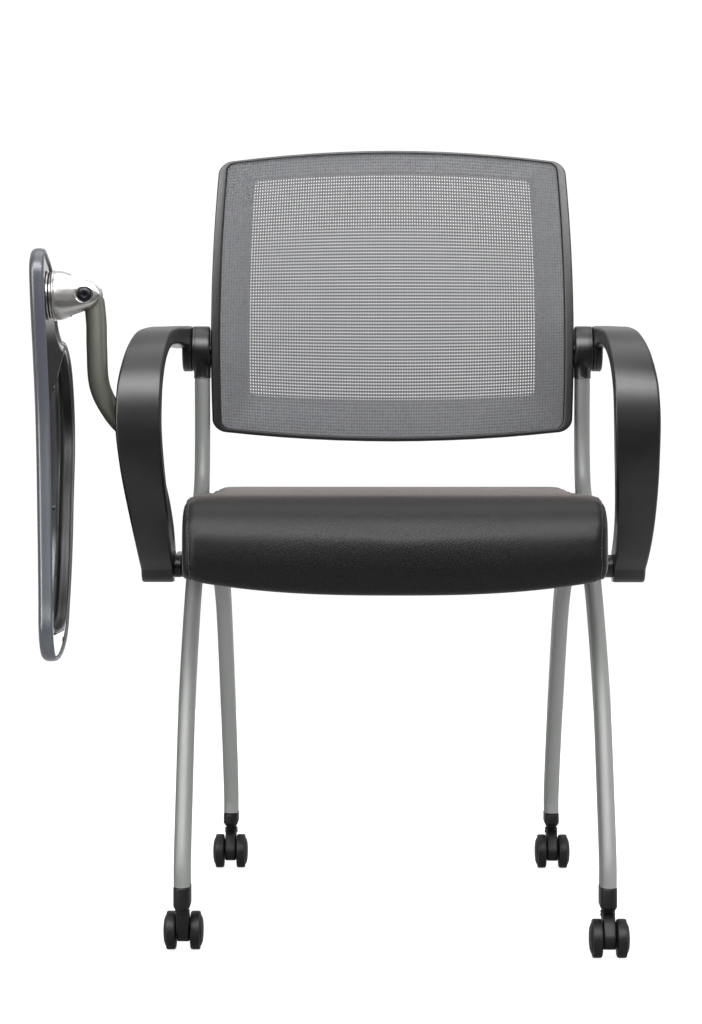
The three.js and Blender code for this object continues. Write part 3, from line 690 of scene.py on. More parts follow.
def round_end(station, centre, turn):
    """Chords that close a loop's end in a circle about centre."""
    outside, inside, low, high = station
    centre = Vector((*centre, 0))
    start = outside - centre
    end = inside - centre
    first = math.atan2(start.y, start.x)
    last = math.atan2(end.y, end.x)
    sweep = (first - last) % (2 * math.pi) if turn > 0 else (last - first) % (2 * math.pi)
    chords = []
    for step in range(1, 9):
        share = math.sin(math.pi / 2 * step / 8.05) / 2
        angles = (first - turn * sweep * share, last + turn * sweep * share)
        radii = (start.length, end.length)
        outer, inner = [centre + Vector((math.cos(t), math.sin(t), 0)) * r for t, r in zip(angles, radii)]
        chords.append((outer, inner, low, high))
    return chords


def arms():
    loop = bridge(arm_rings())
    bolt_recess = turned(rod(8, 279.2, 300), (0, CROSS_Y, CROSS_Z), (1, 0, 0), 48)
    for side in SIDES:
        shape = moved(on_side(side, loop), set_over)
        made = piece(f"arm_{side}_loop", shape, PLASTIC, "frame", f"arm_{side}", smooth_angle=50)
        cut(made, on_side(side, bolt_recess))
        arm_fittings(side)


def arm_fittings(side):
    """Disc at the hub, spacer at the cross tube and the bolt through it."""
    axis = (SIDES[side], 0, 0)
    disc = turned([(0, 237.3), (26, 237.3), (26.8, 238), (26.8, 241), (26.3, 241.4), (26.8, 241.8),
                   (26.8, 246.6), (25.4, 248), (0, 248)], (0, HUB_Y, HUB_Z), axis, 72)
    piece(f"arm_hub_disc_{side}", disc, PLASTIC, "frame", smooth_angle=30)
    centre = (0, CROSS_Y, CROSS_Z)
    end = 241.2 if side == "right" else 250.2  # the right spacer ends at the tablet tube's lug
    profile = [(0, 234.3), (12.2, 234.3), (13, 235.1), (13, end - 0.8), (12.4, end), (0, end)]
    spacer = turned(profile, centre, axis, 56)
    piece(f"arm_boss_{side}_sleeve", spacer, PLASTIC, "frame", f"arm_boss_{side}", smooth_angle=30)
    bolt = joined(socket_screw(centre, axis, 6.8, 4.6, 279.4), turned(rod(4, 218, 280), centre, axis, 24))
    piece(f"arm_bolt_{side}_head", bolt, STEEL, "frame", f"arm_bolt_{side}")


# ---- back --------------------------------------------------------------------------------


def back_point(across_mm, up_mm, forward):
    """From the flat (x, height from 0, distance in front of the rear face) to the curved back."""
    across = across_mm / BACK_HALF
    share = up_mm / (BACK_TOP - BACK_BOTTOM)
    low = BACK_BOTTOM + 14 * across ** 2
    high = BACK_TOP - 17 * across ** 2
    z = low + share * (high - low)
    x = across * (BACK_HALF - 7.75 * ((z - 650) / 200) ** 2)
    lean = 0.00048 * max(0, z - 600) ** 2
    surface = 124.5 + lean + BACK_BOW * (1 - (x / BACK_HALF) ** 2)
    return Vector((x, surface - forward, z))


def back_outline(side, bottom, top, radius, corner_steps=9, run=12):
    """Rounded rectangle inside the back's own outline, anticlockwise from the lower right."""
    half, height = BACK_HALF - side, BACK_TOP - BACK_BOTTOM
    low, high = bottom, height - top
    corners = [(half - radius, low + radius, -90), (half - radius, high - radius, 0),
               (-half + radius, high - radius, 90), (-half + radius, low + radius, 180)]
    points = []
    for a, b, start in corners:
        points += arc(a, b, radius, math.radians(start), math.radians(start + 90), corner_steps)
    filled = []
    for index, (a, b) in enumerate(points):
        c, d = points[(index + 1) % len(points)]
        filled.append((a, b))
        if index % (corner_steps + 1) == corner_steps:
            filled += [(a + (c - a) * i / run, b + (d - b) * i / run) for i in range(1, run)]
    return filled


def back_ring(profile):
    """A ring around the back: profile of (side, bottom, top, radius, forward) inside its outline."""
    rings = [[back_point(a, b, forward) for a, b in back_outline(*inset)] for *inset, forward in profile]
    return bridge(rings, closed_path=True)


NET_FORWARD = 20  # the net lies this far in front of the back's rear face


def back_rim():
    """Outer rim with rounded edges and a groove that holds the net, and the flange behind it."""
    side, bottom, top = 11, 6, 3
    rim = back_ring([
        (0, 0, 0, 15, 4), (0, 0, 0, 15, 20.8), (0.5, 0.35, 0.1, 14.7, 22.6), (1.5, 1, 0.2, 14, 23.7),
        (2.3, 1.5, 0.3, 13.5, 23.95), (2.7, 1.7, 0.4, 13.2, 24), (6, 3.4, 1.6, 11.2, 24.1),
        (8.8, 4.8, 2.6, 9.7, 24), (9.2, 5, 2.7, 9.5, 23.95), (10.2, 5.5, 2.85, 8.9, 23.5),
        (side, bottom, top, 8.4, 22.2), (side, bottom, top, 8.4, 2), (9, 5, 2.6, 9.6, 0),
        (3.5, 2, 1.1, 12.8, 0), (0.9, 0.7, 0.5, 14.4, 1.4),
    ])
    flange = back_ring([
        (9, 5, 2.5, 9.6, 19), (42.8, 48.9, 27.1, 9, 19), (43.6, 49.6, 27.6, 8.6, 18.3),
        (43.8, 49.8, 27.8, 8.6, 9), (42.6, 48.8, 27, 9, 8.2), (9, 5, 2.5, 9.6, 8.2),
    ])
    piece("back_frame_rim", rim, PLASTIC, "back", "back_frame", smooth_angle=50)
    # The flange wears the border finish, whose light grey colour is painted reflection.
    piece("back_frame_flange", flange, BORDER_PAINTED_REFLECTION, "back", smooth_angle=50)


def back_net():
    """The net itself: a sheet of small rounded holes, with a raised thread along each row."""
    side, bottom, top, corner = 10.2, 5.6, 2.5, 9
    columns, rows = 131, 89
    half, height = BACK_HALF - side, BACK_TOP - BACK_BOTTOM - top
    pitch_x, pitch_y = 2 * half / columns, (height - bottom) / rows
    thread_height, thickness = 0.3, 0.45
    points, faces, grid = [], [], {}

    def add(x, y, forward):
        points.append(back_point(x, y, forward))
        return len(points) - 1

    def corner_of(i, j, layer):
        if (i, j, layer) not in grid:
            x, y = -half + i * pitch_x, bottom + j * pitch_y
            raised = thread_height if layer == 0 else -thickness - thread_height * 0.6
            grid[i, j, layer] = add(x, y, NET_FORWARD + raised)
        return grid[i, j, layer]

    turns = [math.radians(22.5 + 45 * k) for k in range(8)]
    hole = [(math.cos(turn) * 1.05, math.sin(turn) * 1.02) for turn in turns]
    for i in range(columns):
        for j in range(rows):
            x, y = -half + (i + 0.5) * pitch_x, bottom + (j + 0.5) * pitch_y
            over_x = abs(x) - (half - corner)
            over_y = abs(y - (height + bottom) / 2) - ((height - bottom) / 2 - corner)
            if over_x > 0 and over_y > 0 and math.hypot(over_x, over_y) > corner:
                continue
            rims = []
            for base in (NET_FORWARD, NET_FORWARD - thickness):
                rims.append([add(x + a * pitch_x * 0.21, y + b * pitch_y * 0.25, base) for a, b in hole])
            for layer, rim in enumerate(rims):
                order = 1 if layer else -1
                ends = [corner_of(i + 1, j + 1, layer), corner_of(i, j + 1, layer),
                        corner_of(i, j, layer), corner_of(i + 1, j, layer)]
                for k in range(4):
                    first, second, third = rim[2 * k], rim[2 * k + 1], rim[(2 * k + 2) % 8]
                    faces.append([ends[k], first, second][::order])
                    faces.append([ends[k], second, third, ends[(k + 1) % 4]][::order])
            for k in range(8):
                m = (k + 1) % 8
                faces.append([rims[0][k], rims[0][m], rims[1][m], rims[1][k]])
    net = mesh_object("back_net", (points, faces))
    dress(net, NET, "back", "back_mesh")
    net.data.set_sharp_from_angle(angle=math.radians(60))


# ---- seat --------------------------------------------------------------------------------

SEAT_FRONT_HALF = 226.5
SEAM = [  # the side seams, from rear to front in side view
    (154, 471), (80, 474), (0, 476.5), (-120, 479.5), (-190, 480.5), (-226, 471.5), (-243, 448),
    (-245, 420), (-239, 394), (-222, 382),
]


def seat_half(y):
    """Half width of the cushion: widest at the front roll, narrower between the side tubes."""
    share = min(1, max(0, (y + 170) / 140))
    return SEAT_FRONT_HALF - 15 * share


def smoothing(made, name, rounds):
    soft = made.modifiers.new(name, "SMOOTH")
    soft.factor = 0.5
    soft.iterations = rounds


def padded(source, name, pressure, cap):
    """A CAD foam solid inflated by cloth simulation, by no more than the cap in millimetres."""
    made = linked(name, NODES[source].data.copy())
    remesh = made.modifiers.new("remesh", "REMESH")
    remesh.mode = "VOXEL"
    remesh.voxel_size = 0.005
    smoothing(made, "soft", 7)
    apply_modifiers(made)
    start = bowed(np.array([v.co for v in made.data.vertices]))
    made.data.vertices.foreach_set("co", start.ravel())
    group = made.vertex_groups.new(name="held")
    held = [v.index for v in made.data.vertices if v.normal.z < -0.5 and v.co.y > ORIGIN.y * MM - 0.19]
    group.add(held, 1.0, "REPLACE")
    cloth = made.modifiers.new("cloth", "CLOTH")
    settings = cloth.settings
    settings.quality = 6
    settings.use_pressure = True
    settings.uniform_pressure_force = pressure
    settings.effector_weights.gravity = 0
    settings.tension_stiffness = 40
    settings.compression_stiffness = 40
    settings.bending_stiffness = 8
    settings.vertex_group_mass = "held"
    for number in range(1, 21):
        bpy.context.scene.frame_set(number)
    bpy.context.view_layer.update()
    evaluated = made.evaluated_get(bpy.context.evaluated_depsgraph_get())
    result = np.array([v.co for v in evaluated.data.vertices])
    made.modifiers.clear()
    shift = result - start
    length = np.linalg.norm(shift, axis=1, keepdims=True)
    shift *= np.minimum(1, cap * MM / np.maximum(length, 1e-9))
    made.data.vertices.foreach_set("co", (start + shift).ravel())
    bpy.context.scene.frame_set(1)
    smoothing(made, "settled", 10)
    finer = made.modifiers.new("finer", "SUBSURF")
    finer.levels = finer.render_levels = 1
    apply_modifiers(made)
    return made


def bowed(co):
    """Lifts the corners of the front roll's lower edge, which hangs lowest in the middle."""
    mm = co / MM - np.array(ORIGIN)
    across = np.clip(np.abs(mm[:, 0]) / SEAT_FRONT_HALF, 0, 1)
    low = np.clip((448 - mm[:, 2]) / 60, 0, 1)
    front = np.clip((-150 - mm[:, 1]) / 40, 0, 1)
    mm[:, 2] += front * low ** 1.2 * (17 * across ** 2.6 - 8)
    return (mm + np.array(ORIGIN)) * MM


def side_seam(surface, sign):
    """Points and normals where the side boxing is sewn to the top panel, from rear to front."""
    path = []
    for y, z, _ in smooth_path(flat(SEAM), 16):
        aim = Vector((sign * (seat_half(y) - 6), y, z))
        path.append(surface.find_nearest((ORIGIN + aim) * MM)[:2])
    return path


def seat():
    cushion = padded("seat_cushion", "seat_cushion_cover", 2, 2)
    surface_tree = BVHTree.FromObject(cushion, bpy.context.evaluated_depsgraph_get())
    seams = [side_seam(surface_tree, sign) for sign in SIDES.values()]
    sink_seams(cushion, seams, 0.0012, 0.0034)
    dress(cushion, FABRIC, "seat", "seat_cushion")
    for side, seam in zip(SIDES, seams):
        stitches(f"seat_stitching_{side}", seam)
    seat_pan()
    for side in SIDES:
        hinge_plate(side)
        stop_pad(side)


def sink_seams(made, seams, depth, width):
    """Draws the cover in along its seams."""
    vertices = made.data.vertices
    co = np.array([v.co for v in vertices])
    normals = np.array([v.normal for v in vertices])
    for seam in seams:
        line = np.array([point for point, _ in seam])
        nearest = np.full(len(co), 1.0)
        close = np.where(np.abs(co[:, 0] - line[:, 0].mean()) < 0.03)[0]
        for start in range(0, len(close), 2000):
            some = close[start:start + 2000]
            gaps = np.linalg.norm(co[some, None, :] - line[None, :, :], axis=2)
            nearest[some] = gaps.min(axis=1)
        co -= normals * (depth * np.exp(-(nearest / width) ** 2))[:, None]
    vertices.foreach_set("co", co.ravel())


def stitches(name, seam):
    """A row of short thread stitches along a seam."""
    shapes = []
    points = [point / MM - ORIGIN for point, _ in seam]
    normals = [normal for _, normal in seam]
    travelled, next_stitch = 0.0, 2.0
    for index in range(len(points) - 1):
        step = points[index + 1] - points[index]
        while travelled + step.length > next_stitch:
            share = (next_stitch - travelled) / step.length
            spot = points[index] + step * share - normals[index] * 0.55
            shapes.append(one_stitch(spot, step.normalized(), normals[index]))
            next_stitch += 4.2
        travelled += step.length
    piece(name, joined(*shapes), THREAD, "seat")


def one_stitch(spot, along, normal):
    """A short arched thread, thickest in the middle."""
    across = along.cross(normal).normalized()
    stations = [(-1.5, -0.5, 0.3), (-1.0, 0.0, 0.42), (0, 0.25, 0.48), (1.0, 0.0, 0.42), (1.5, -0.5, 0.3)]
    rings = []
    for place, lift, size in stations:
        middle = spot + along * place + normal * lift
        rings.append([middle + (across * a + normal * b) * size for a, b in circle(1, 6)])
    return bridge(rings)


STOP_PAD_X = 150


def seat_pan():
    """Moulded shell under the cushion with stiffening ribs."""
    low_front = [(-178, 423), (-60, 436), (60, 441), (142, 445.6)]
    half = 211.8
    shell = []
    for y, z, _ in smooth_path(flat(low_front), 8):
        wide = half - (7 if y < -170 or y > 138 else 0)
        top, bottom = z - 0.8, z - 5.6
        section = [(-wide, bottom), (wide, bottom), (wide + 1, top), (-wide - 1, top)]
        shell.append([Vector((x, y, height)) for x, height in section])
    ribs = []
    for x in (-120, -60, 0, 60, 120):
        rib = [(y, z - 5.2) for y, z in low_front[1:]]
        outline = rib + [(y, z - 7.2) for y, z in reversed(rib)]
        ribs.append(plate(outline, x - 1.2, x + 1.2, lambda a, b, h: Vector((h, a, b))))
    piece("seat_pan_shell", joined(bridge(shell), *ribs), PLASTIC, "seat", "seat_pan", bevel=0.8)


def hinge_plate(side):
    sign = SIDES[side]
    outline = [(18, 430), (118, 435)] + arc(SEAT_PIVOT.y, SEAT_PIVOT.z, 15, 0.35, 2.4, 14) + [(18, 438)]
    shape = plate(outline, 212.4, 215.9, lambda a, b, h: Vector((h * sign, a, b)))
    piece(f"seat_hinge_plate_{side}_steel", shape, STEEL, "seat", f"seat_hinge_plate_{side}", bevel=0.5)


def stop_pad(side):
    sign = SIDES[side]
    rings = []
    for z, grow in ((407.4, -2), (407.9, -0.8), (409, 0), (428, 0), (430.8, 0.4)):
        section = rounded_box(14.6 + grow, 11.6 + grow, 4)
        rings.append([Vector((sign * STOP_PAD_X + a, CROSS_Y + b, z)) for a, b in section])
    piece(f"seat_stop_pad_{side}_rubber", bridge(rings), RUBBER, "seat", f"seat_stop_pad_{side}")


# ---- tablet tube -------------------------------------------------------------------------


def tablet_tube():
    x, y, z = PIVOT
    centreline = [
        (-262, 24, 380), (-262, 24, 398), (-264, -4, 446), (-273, -44, 500), (-292, -70, 542),
        (-312, -86, 568), (-326, -97, 598), (-329, y, 640), (-329.5, y, 668), (x + 9.5, y, z - 10),
    ]
    path = smooth_path(centreline, 9)
    top, rise = path[-1], tangents(path)[-1]
    dome = [(3, 0.98), (6.5, 0.88), (9, 0.7), (10.5, 0.4), (10.9, 0.1)]
    scales = [(1, 1)] * len(path) + [(scale, scale) for _, scale in dome]
    path += [top + rise * lift for lift, _ in dome]
    tube = swept(path, circle(11.5, 36), Vector((0, 1, 0)), scales)
    collar = [Vector((-262 + a, 24 + b, 381.2)) for a, b in circle(11.9, 40)]
    foot = weld_bead(collar, 1.4, 0.2)
    piece("tablet_tube_shell", joined(tube, foot), OLIVE, "frame", "tablet_tube")
    knuckle = turned([
        (5.4, -11.6), (11.8, -11.6), (12.9, -10.6), (12.9, 10.6), (11.8, 11.6), (5.4, 11.6), (5.4, -11.6),
    ], (x, y, z), (0, 1, 0), 56)
    piece("tablet_knuckle_barrel", knuckle, ALUMINIUM, "frame", "tablet_knuckle", smooth_angle=30)
    lug()


def lug():
    outline = arc(CROSS_Y, CROSS_Z, 13, math.pi / 2, 1.5 * math.pi, 20)
    outline += [(30, CROSS_Z - 13), (34, CROSS_Z - 9), (34, CROSS_Z + 9), (30, CROSS_Z + 13)]
    shape = plate(outline, -249.1, -241.6, lambda a, b, h: Vector((h, a, b)))
    piece("tablet_tube_lug_plate", shape, STEEL, "frame", "tablet_tube_lug", bevel=0.7)


# ---- folding tablet: drawn around its bolt, then hung from it ----------------------------


def hung(shape):
    """From coordinates about the tablet's bolt to the chair's, with the hanging tablet's lean."""
    turn = Matrix.Rotation(TABLET_LEAN, 3, "Y")
    return moved(shape, lambda point: PIVOT + turn @ point)


# Upper edge of the bracket's cone: distance from the bolt and half height.
CONE_SIDE = [(-34, 27), (-27, 27), (-13, 22.4), (0, 17.6), (8, 15), (13.2, 11), (16.4, 5.6), (17, 1.5)]


def bracket():
    """Polished cast fork: a round flange, and a cone tapering to two cheeks on the bolt."""
    rings = []
    for x, high, _ in smooth_path(flat(CONE_SIDE), 6):
        share = min(1, max(0, (x + 34) / 36))
        wide = 24 - 4 * min(1, share * 1.6)
        power = 2.2 + 1.3 * share
        ring = []
        for a, b in circle(1, 48):
            y = math.copysign(abs(a) ** (2 / power), a) * wide
            z = math.copysign(abs(b) ** (2 / power), b) * high
            ring.append(Vector((x, y, z)))
        rings.append(ring)
    cone = hung(bridge(rings))
    made = piece("tablet_bracket_casting", cone, ALUMINIUM, "tablet_arm", "tablet_bracket", smooth_angle=45)
    fork = [(-12, -40), (12, -40), (12, 40), (-12, 40)]
    cut(made, hung(bridge([[Vector((x, a, b)) for a, b in fork] for x in (-17, 40)])))
    counterbore = [(0, -40), (13, -40), (13, -22.4), (8.2, -18.6), (8.2, -16.8), (0, -16.8)]
    cut(made, hung(turned(counterbore, (0, 0, 0), (0, 1, 0), 48)))
    cut(made, hung(turned(rod(5.2, -40, 40), (0, 0, 0), (0, 1, 0), 32)))
    edge = made.modifiers.new("edges", "BEVEL")
    edge.width = 0.7 * MM
    edge.segments = 2
    edge.angle_limit = math.radians(40)
    apply_modifiers(made)
    made.data.set_sharp_from_angle(angle=math.radians(45))
    rim = [(0, -36), (27.4, -36), (28, -35.4), (28, -34), (27.4, -33.2), (25.6, -32.8), (0, -32.6)]
    flange = turned(rim, (0, 0, 0), (1, 0, 0), 80)
    piece("tablet_bracket_flange", hung(flange), ALUMINIUM, "tablet_arm", smooth_angle=32)


def bracket_bolt():
    head = socket_screw((0, 0, 0), (0, -1, 0), 7.4, 3.4, 16.9, 0.36)
    shank = turned(rod(5, -18, 24), (0, 0, 0), (0, 1, 0), 32)
    piece("tablet_pivot_bolt_screw", hung(joined(head, shank)), STEEL, "tablet_arm", "tablet_pivot_bolt")
    nut = turned([(5.3, 20.2), (8.4, 20.2), (9.2, 20.9), (9.2, 24.3), (8.4, 25), (5.3, 25), (5.3, 20.2)],
                 (0, 0, 0), (0, 1, 0), 48, hexagonal=(1, 2, 3, 4))
    piece("tablet_pivot_nut_hex", hung(nut), STEEL, "tablet_arm", "tablet_pivot_nut")


# Outlines of the tablet and of the recess in its underside, Y and Z from the swivel's axis.
TABLET_CURVE = [
    (-73, 8), (-70, 36), (-50, 51), (-22, 45), (14, 30), (38, 4), (46, -28), (78, -46), (134, -54),
    (174, -80), (191, -130), (184, -180), (158, -230), (135, -278), (112, -316), (86, -350), (58, -380),
    (20, -396), (-36, -401), (-72, -392), (-86, -366), (-80, -330), (-68, -250), (-57, -130),
]
RECESS_CURVE = [
    (122, -64), (80, -76), (52, -89), (43, -108), (43, -150), (38, -190), (-2, -272), (-31, -309),
    (-56, -345), (-60, -358), (-42, -366), (4, -370), (44, -366), (68, -350), (94, -316), (118, -272),
    (142, -226), (168, -174), (172, -130), (160, -94), (140, -72),
]
UNDERSIDE_SCREWS = [(10, -103), (-76, -370), (-19, -234), (22, -384)]


def even_outline(points, count):
    """The closed smooth curve through the points, as evenly spaced (spot, outward) pairs."""
    path = smooth_path(flat(points), 16, closed=True)
    lengths = [(path[(i + 1) % len(path)] - path[i]).length for i in range(len(path))]
    total, travelled, index, spots = sum(lengths), 0.0, 0, []
    for step in range(count):
        target = total * step / count
        while travelled + lengths[index] < target:
            travelled += lengths[index]
            index += 1
        share = (target - travelled) / lengths[index]
        spots.append(path[index].lerp(path[(index + 1) % len(path)], share))
    pairs = []
    for i, spot in enumerate(spots):
        along = (spots[(i + 1) % count] - spots[i - 1]).normalized()
        pairs.append((spot, Vector((-along.y, along.x, 0))))
    return pairs


def inset_block(points, profile, count):
    """A hung solid from rings inside a closed curve: profile of (inset, x)."""
    pairs = even_outline(points, count)
    area = sum(a.x * b.y - b.x * a.y for (a, _), (b, _) in zip(pairs, pairs[1:] + pairs[:1]))
    inward = 1 if area > 0 else -1
    rings = []
    for inset, x in profile:
        reach = inset * inward
        rings.append([Vector((x, spot.x + out.x * reach, spot.y + out.y * reach)) for spot, out in pairs])
    return hung(bridge(rings))


def tablet():
    """Writing board with a rounded edge, over a gloss underside with a sculpted recess."""
    edge = [(12, -54), (7, -53.9), (4.4, -53.3), (2.4, -52.1), (0.9, -50.2), (0.15, -47.8), (0, -45),
            (0.1, -42), (0.6, -39.8), (1.6, -38.2), (3, -37.5), (4.2, -37.7), (4.9, -38.4), (5.1, -40),
            (5.1, -42.6)]
    board = inset_block(TABLET_CURVE, edge, 220)
    top = piece("tablet_top_board", board, LAMINATE, "tablet", "tablet_top", smooth_angle=40)
    cut(top, inset_block(RECESS_CURVE, [(-1.6, -51.6), (-1.6, -30)], 160))
    shell = [(5.3, -43), (5.3, -40.2), (5.7, -39.5), (6.6, -39.3), (16, -39.3)]
    panel = inset_block(TABLET_CURVE, shell, 220)
    under = piece("tablet_underside_panel", panel, GLOSS, "tablet", "tablet_underside", smooth_angle=35)
    cut(under, inset_block(RECESS_CURVE, [(-1.0, -50), (-1.0, -30)], 160))
    wall = [(9, -50.7), (4, -50.6), (1.8, -50), (0.9, -48.6), (0.5, -45), (0.3, -40.4), (0, -39.5),
            (-0.6, -39.1), (-1.3, -39.05), (-1.5, -39.4), (-1.5, -51.4)]
    liner = inset_block(RECESS_CURVE, wall, 200)
    piece("tablet_recess_liner", liner, PLASTIC, "tablet", smooth_angle=50)
    plate_profile = [(0, -39), (25.2, -39), (26, -38.4), (26, -37), (25.4, -36.4), (0, -36.4)]
    swivel = hung(turned(plate_profile, (0, 0, 0), (1, 0, 0), 72))
    piece("tablet_swivel_plate_disc", swivel, ALUMINIUM, "tablet", "tablet_swivel_plate", smooth_angle=30)
    screws = [socket_screw((-39.3, y, z), (1, 0, 0), 3.2, 0.9, -0.2) for y, z in UNDERSIDE_SCREWS]
    piece("tablet_underside_screws", hung(joined(*screws)), STEEL, "tablet")


# ---- casters -----------------------------------------------------------------------------


# Each caster's stem place, which way its wheels trail, and its sleeve's heights.
CASTERS = {
    "front_right": (-SIDE_X, -STEM_Y, 1, 48, 73),
    "front_left": (SIDE_X, -STEM_Y, -1, 48, 73),
    "rear_right": (-REAR_X, STEM_Y, -1, 50, 66),
    "rear_left": (REAR_X, STEM_Y, -1, 50, 66),
}


def wheel_shape(hand):
    """Twin wheel half: a rounded tread, a stepped rim and a domed face with a hub cap."""
    profile = [
        (3.3, 7.4), (16.4, 7.4), (18.6, 7.7), (20, 8.6), (20.4, 10.2), (20.4, 16.2), (20.1, 17.4),
        (19.2, 18), (18.2, 18.1), (17.8, 17.6), (17.2, 17.6), (16.9, 18.2), (15.4, 19.4), (12, 20.6),
        (8, 21.1), (7.4, 20.8), (6.8, 21.2), (4, 21.3), (0, 21.3),
    ]
    return turned(profile, (0, WHEEL_TRAIL, AXLE_Z), (hand, 0, 0), 72)


def hood_shape():
    """Hood between the wheels: a rounded web under a neck with two rings."""
    web = [(-7.4, 45), (-7.2, 30), (-5, 24), (WHEEL_TRAIL - 9.4, 11.6)]
    web += arc(WHEEL_TRAIL, AXLE_Z, 12, math.pi * 1.25, math.pi * 2.2, 16)
    web += [(24, 36), (17, 41.5), (10, 45)]
    middle = Vector((10, 27))
    rings = []
    for x, inset in ((-6.5, 1.2), (-5.9, 0.3), (-5, 0), (5, 0), (5.9, 0.3), (6.5, 1.2)):
        rings.append([Vector((x, *(Vector(p) + (middle - Vector(p)).normalized() * inset))) for p in web])
    neck = turned([(0, 40), (7.8, 40), (8, 41), (8, 42.6), (7.2, 43.1), (7.2, 43.6), (7.9, 44.1),
                   (7.9, 45.6), (7.2, 46), (0, 46)], (0, 0, 0), (0, 0, 1), 40)
    return joined(bridge(rings), neck)


def stem_shape(low, high):
    return turned([(0, 32), (4, 32), (4, 46.2), (6.4, 46.2), (6.6, 46.6), (6.6, low - 0.4),
                   (4, low - 0.4), (4, high - 7), (0, high - 7)], (0, 0, 0), (0, 0, 1), 32)


def sleeve_shape(low, high):
    """End cap of a leg: chamfered below, shouldered above where it grips the tube."""
    levels = [(low, -3.4), (low + 0.6, -2.6), (low + 3.4, -0.3), (low + 4.4, 0), (high - 3, 0),
              (high - 1.4, -0.3), (high - 0.4, -1.1), (high, -2.2)]
    rings = []
    for z, grow in levels:
        section = oval(TUBE_WIDTH + 1 + 2 * grow * 0.6, TUBE_DEPTH + 1 + 2 * grow)
        rings.append([Vector((a, b, z)) for a, b in section])
    return bridge(rings)


def casters():
    for corner, (x, y, trail, low, high) in CASTERS.items():
        def stand(shape, way=trail):
            return moved(shape, lambda p: Vector((x + p.x * way, y + p.y * way, p.z)))
        name = f"caster_{corner}"
        cap = stand(sleeve_shape(low, high), 1)
        piece(f"{name}_sleeve_cap", cap, CASTER_PLASTIC, "frame", f"{name}_sleeve")
        piece(f"{name}_stem_pin", stand(stem_shape(low, high)), STEEL, name, f"{name}_stem")
        hood = stand(hood_shape())
        piece(f"{name}_hood_shell", hood, CASTER_PLASTIC, name, f"{name}_hood", smooth_angle=40)
        for letter, hand in (("a", -1), ("b", 1)):
            piece(f"{name}_wheel_{letter}_tread", stand(wheel_shape(hand)), CASTER_PLASTIC,
                  f"wheel_{corner}_{letter}", f"{name}_wheel_{letter}", smooth_angle=30)


# ---- stage -------------------------------------------------------------------------------


def stage():
    mesh = bpy.data.meshes.new("floor")
    half, front, rear = 1.6, -0.95, 1.6  # metres
    corners = [(-half, front, 0), (half, front, 0), (half, rear, 0), (-half, rear, 0)]
    mesh.from_pydata(corners, [], [(0, 1, 2, 3)])
    mesh.materials.append(pale_floor())
    linked("floor", mesh)


# Soft boxes: place and size in metres, power in watts, and whether they light, shine or both.
SOFT_BOXES = {
    "key": ((-0.2, -2.8, 2.62), 5.6, 1.6, 16, "light"),
    "key_glint": ((-0.2, -2.7, 2.86), 5.6, 2.0, 405, "shine"),
    "left": ((-2.5, -1.7, 1.1), 0.5, 1.8, 60, "shine"),
    "fill": ((2.2, -6.5, 0.9), 4.0, 1.6, 370, "light"),
    "right": ((2.6, 0.0, 1.0), 0.5, 2.0, 14, "both"),
    "top": ((0, 0.2, 3.2), 3.0, 2.2, 50, "both"),
}


def lights():
    """Soft boxes that all face the middle of the chair."""
    middle = (ORIGIN + Vector((0, 0, 520))) * MM
    for name, (place, width, height, watts, job) in SOFT_BOXES.items():
        data = bpy.data.lights.new(name, "AREA")
        data.shape = "RECTANGLE"
        data.size = width
        data.size_y = height
        data.energy = watts
        light = linked(name, data)
        light.visible_diffuse = job != "shine"
        light.visible_glossy = job != "light"
        light.location = place
        light.rotation_mode = "QUATERNION"
        light.rotation_quaternion = (middle - Vector(place)).to_track_quat("-Z", "Y")
    bpy.context.scene.view_settings.view_transform = "Standard"


FRONT_DIM = 0.03  # light from the studio's dark camera side
BACKDROP = 0.9  # light from its pale backdrop


def spread(tree, value, low, high, out_low, out_high):
    """A value between low and high as one between out_low and out_high, eased at both ends."""
    inputs = {"Value": value, "From Min": low, "From Max": high, "To Min": out_low, "To Max": out_high}
    made = add_node(tree, "ShaderNodeMapRange", inputs, interpolation_type="SMOOTHSTEP")
    return made.outputs["Result"]


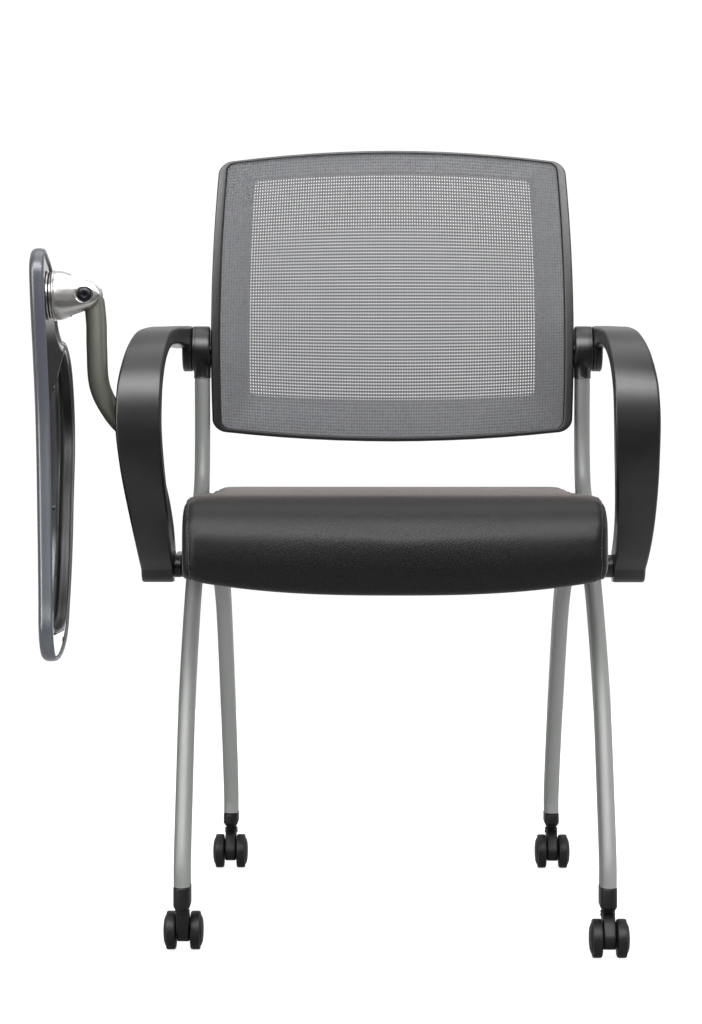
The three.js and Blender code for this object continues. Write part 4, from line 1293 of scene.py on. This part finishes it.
def world():
    """Pale backdrop with an unlit strip at eye level, and a dim room on the camera's side.

    The camera sees plain white. Everything else is lit by, and mirrors, the studio."""
    made = bpy.data.worlds.new("studio")
    made.use_nodes = True
    tree = made.node_tree
    background = tree.nodes["Background"]
    way = add_node(tree, "ShaderNodeTexCoord").outputs["Generated"]
    parts = add_node(tree, "ShaderNodeSeparateXYZ", {0: way})
    behind = spread(tree, parts.outputs["Y"], -0.15, 0.5, FRONT_DIM, BACKDROP)
    below = spread(tree, parts.outputs["Z"], -0.09, -0.072, 1.9, 0.06)
    above = spread(tree, parts.outputs["Z"], 0.004, 0.022, 0.06, 1.0)
    strip = add_node(tree, "ShaderNodeMath", {0: below, 1: above}, operation="MAXIMUM").outputs[0]
    lit = add_node(tree, "ShaderNodeMath", {0: behind, 1: strip}, operation="MULTIPLY").outputs[0]
    seen = add_node(tree, "ShaderNodeLightPath").outputs["Is Camera Ray"]
    strength = add_node(tree, "ShaderNodeMix", {0: seen, 2: lit, 3: 1.05}).outputs[0]
    tree.links.new(strength, background.inputs["Strength"])
    background.inputs["Color"].default_value = (1, 1, 1, 1)
    bpy.context.scene.world = made


CAMERA_PLACE = Vector((-28.2, -3013.2, 653.7))
CAMERA_PITCH = 1.21  # degrees down
CAMERA_YAW = 0.38  # degrees towards the sitter's right
CAMERA_SHIFT = -0.117  # lowers the picture's middle below the line of sight


def camera():
    """Straight on from the front, at about the height of the hubs."""
    data = bpy.data.cameras.new("camera")
    data.lens = 92.5
    data.shift_y = CAMERA_SHIFT
    made = linked("camera", data)
    made.location = (ORIGIN + CAMERA_PLACE) * MM
    made.rotation_euler = (math.radians(90 - CAMERA_PITCH), 0, math.radians(CAMERA_YAW))
    bpy.context.scene.camera = made


def carried_over():
    """CAD nodes that stay: the hubs' rubber bushes, and the steel axles of the back and casters."""
    for name, node in NODES.items():
        if not node.hide_render:
            kind = RUBBER if "bush" in name else STEEL
            node.data.materials.clear()
            node.data.materials.append(kind)


def build():
    side_tubes()
    rear_legs()
    cross_tube()
    seat_pivots()
    hubs()
    arms()
    back_rim()
    back_net()
    seat()
    tablet_tube()
    bracket()
    bracket_bolt()
    tablet()
    casters()
    carried_over()


build()
stage()
world()
camera()
lights()
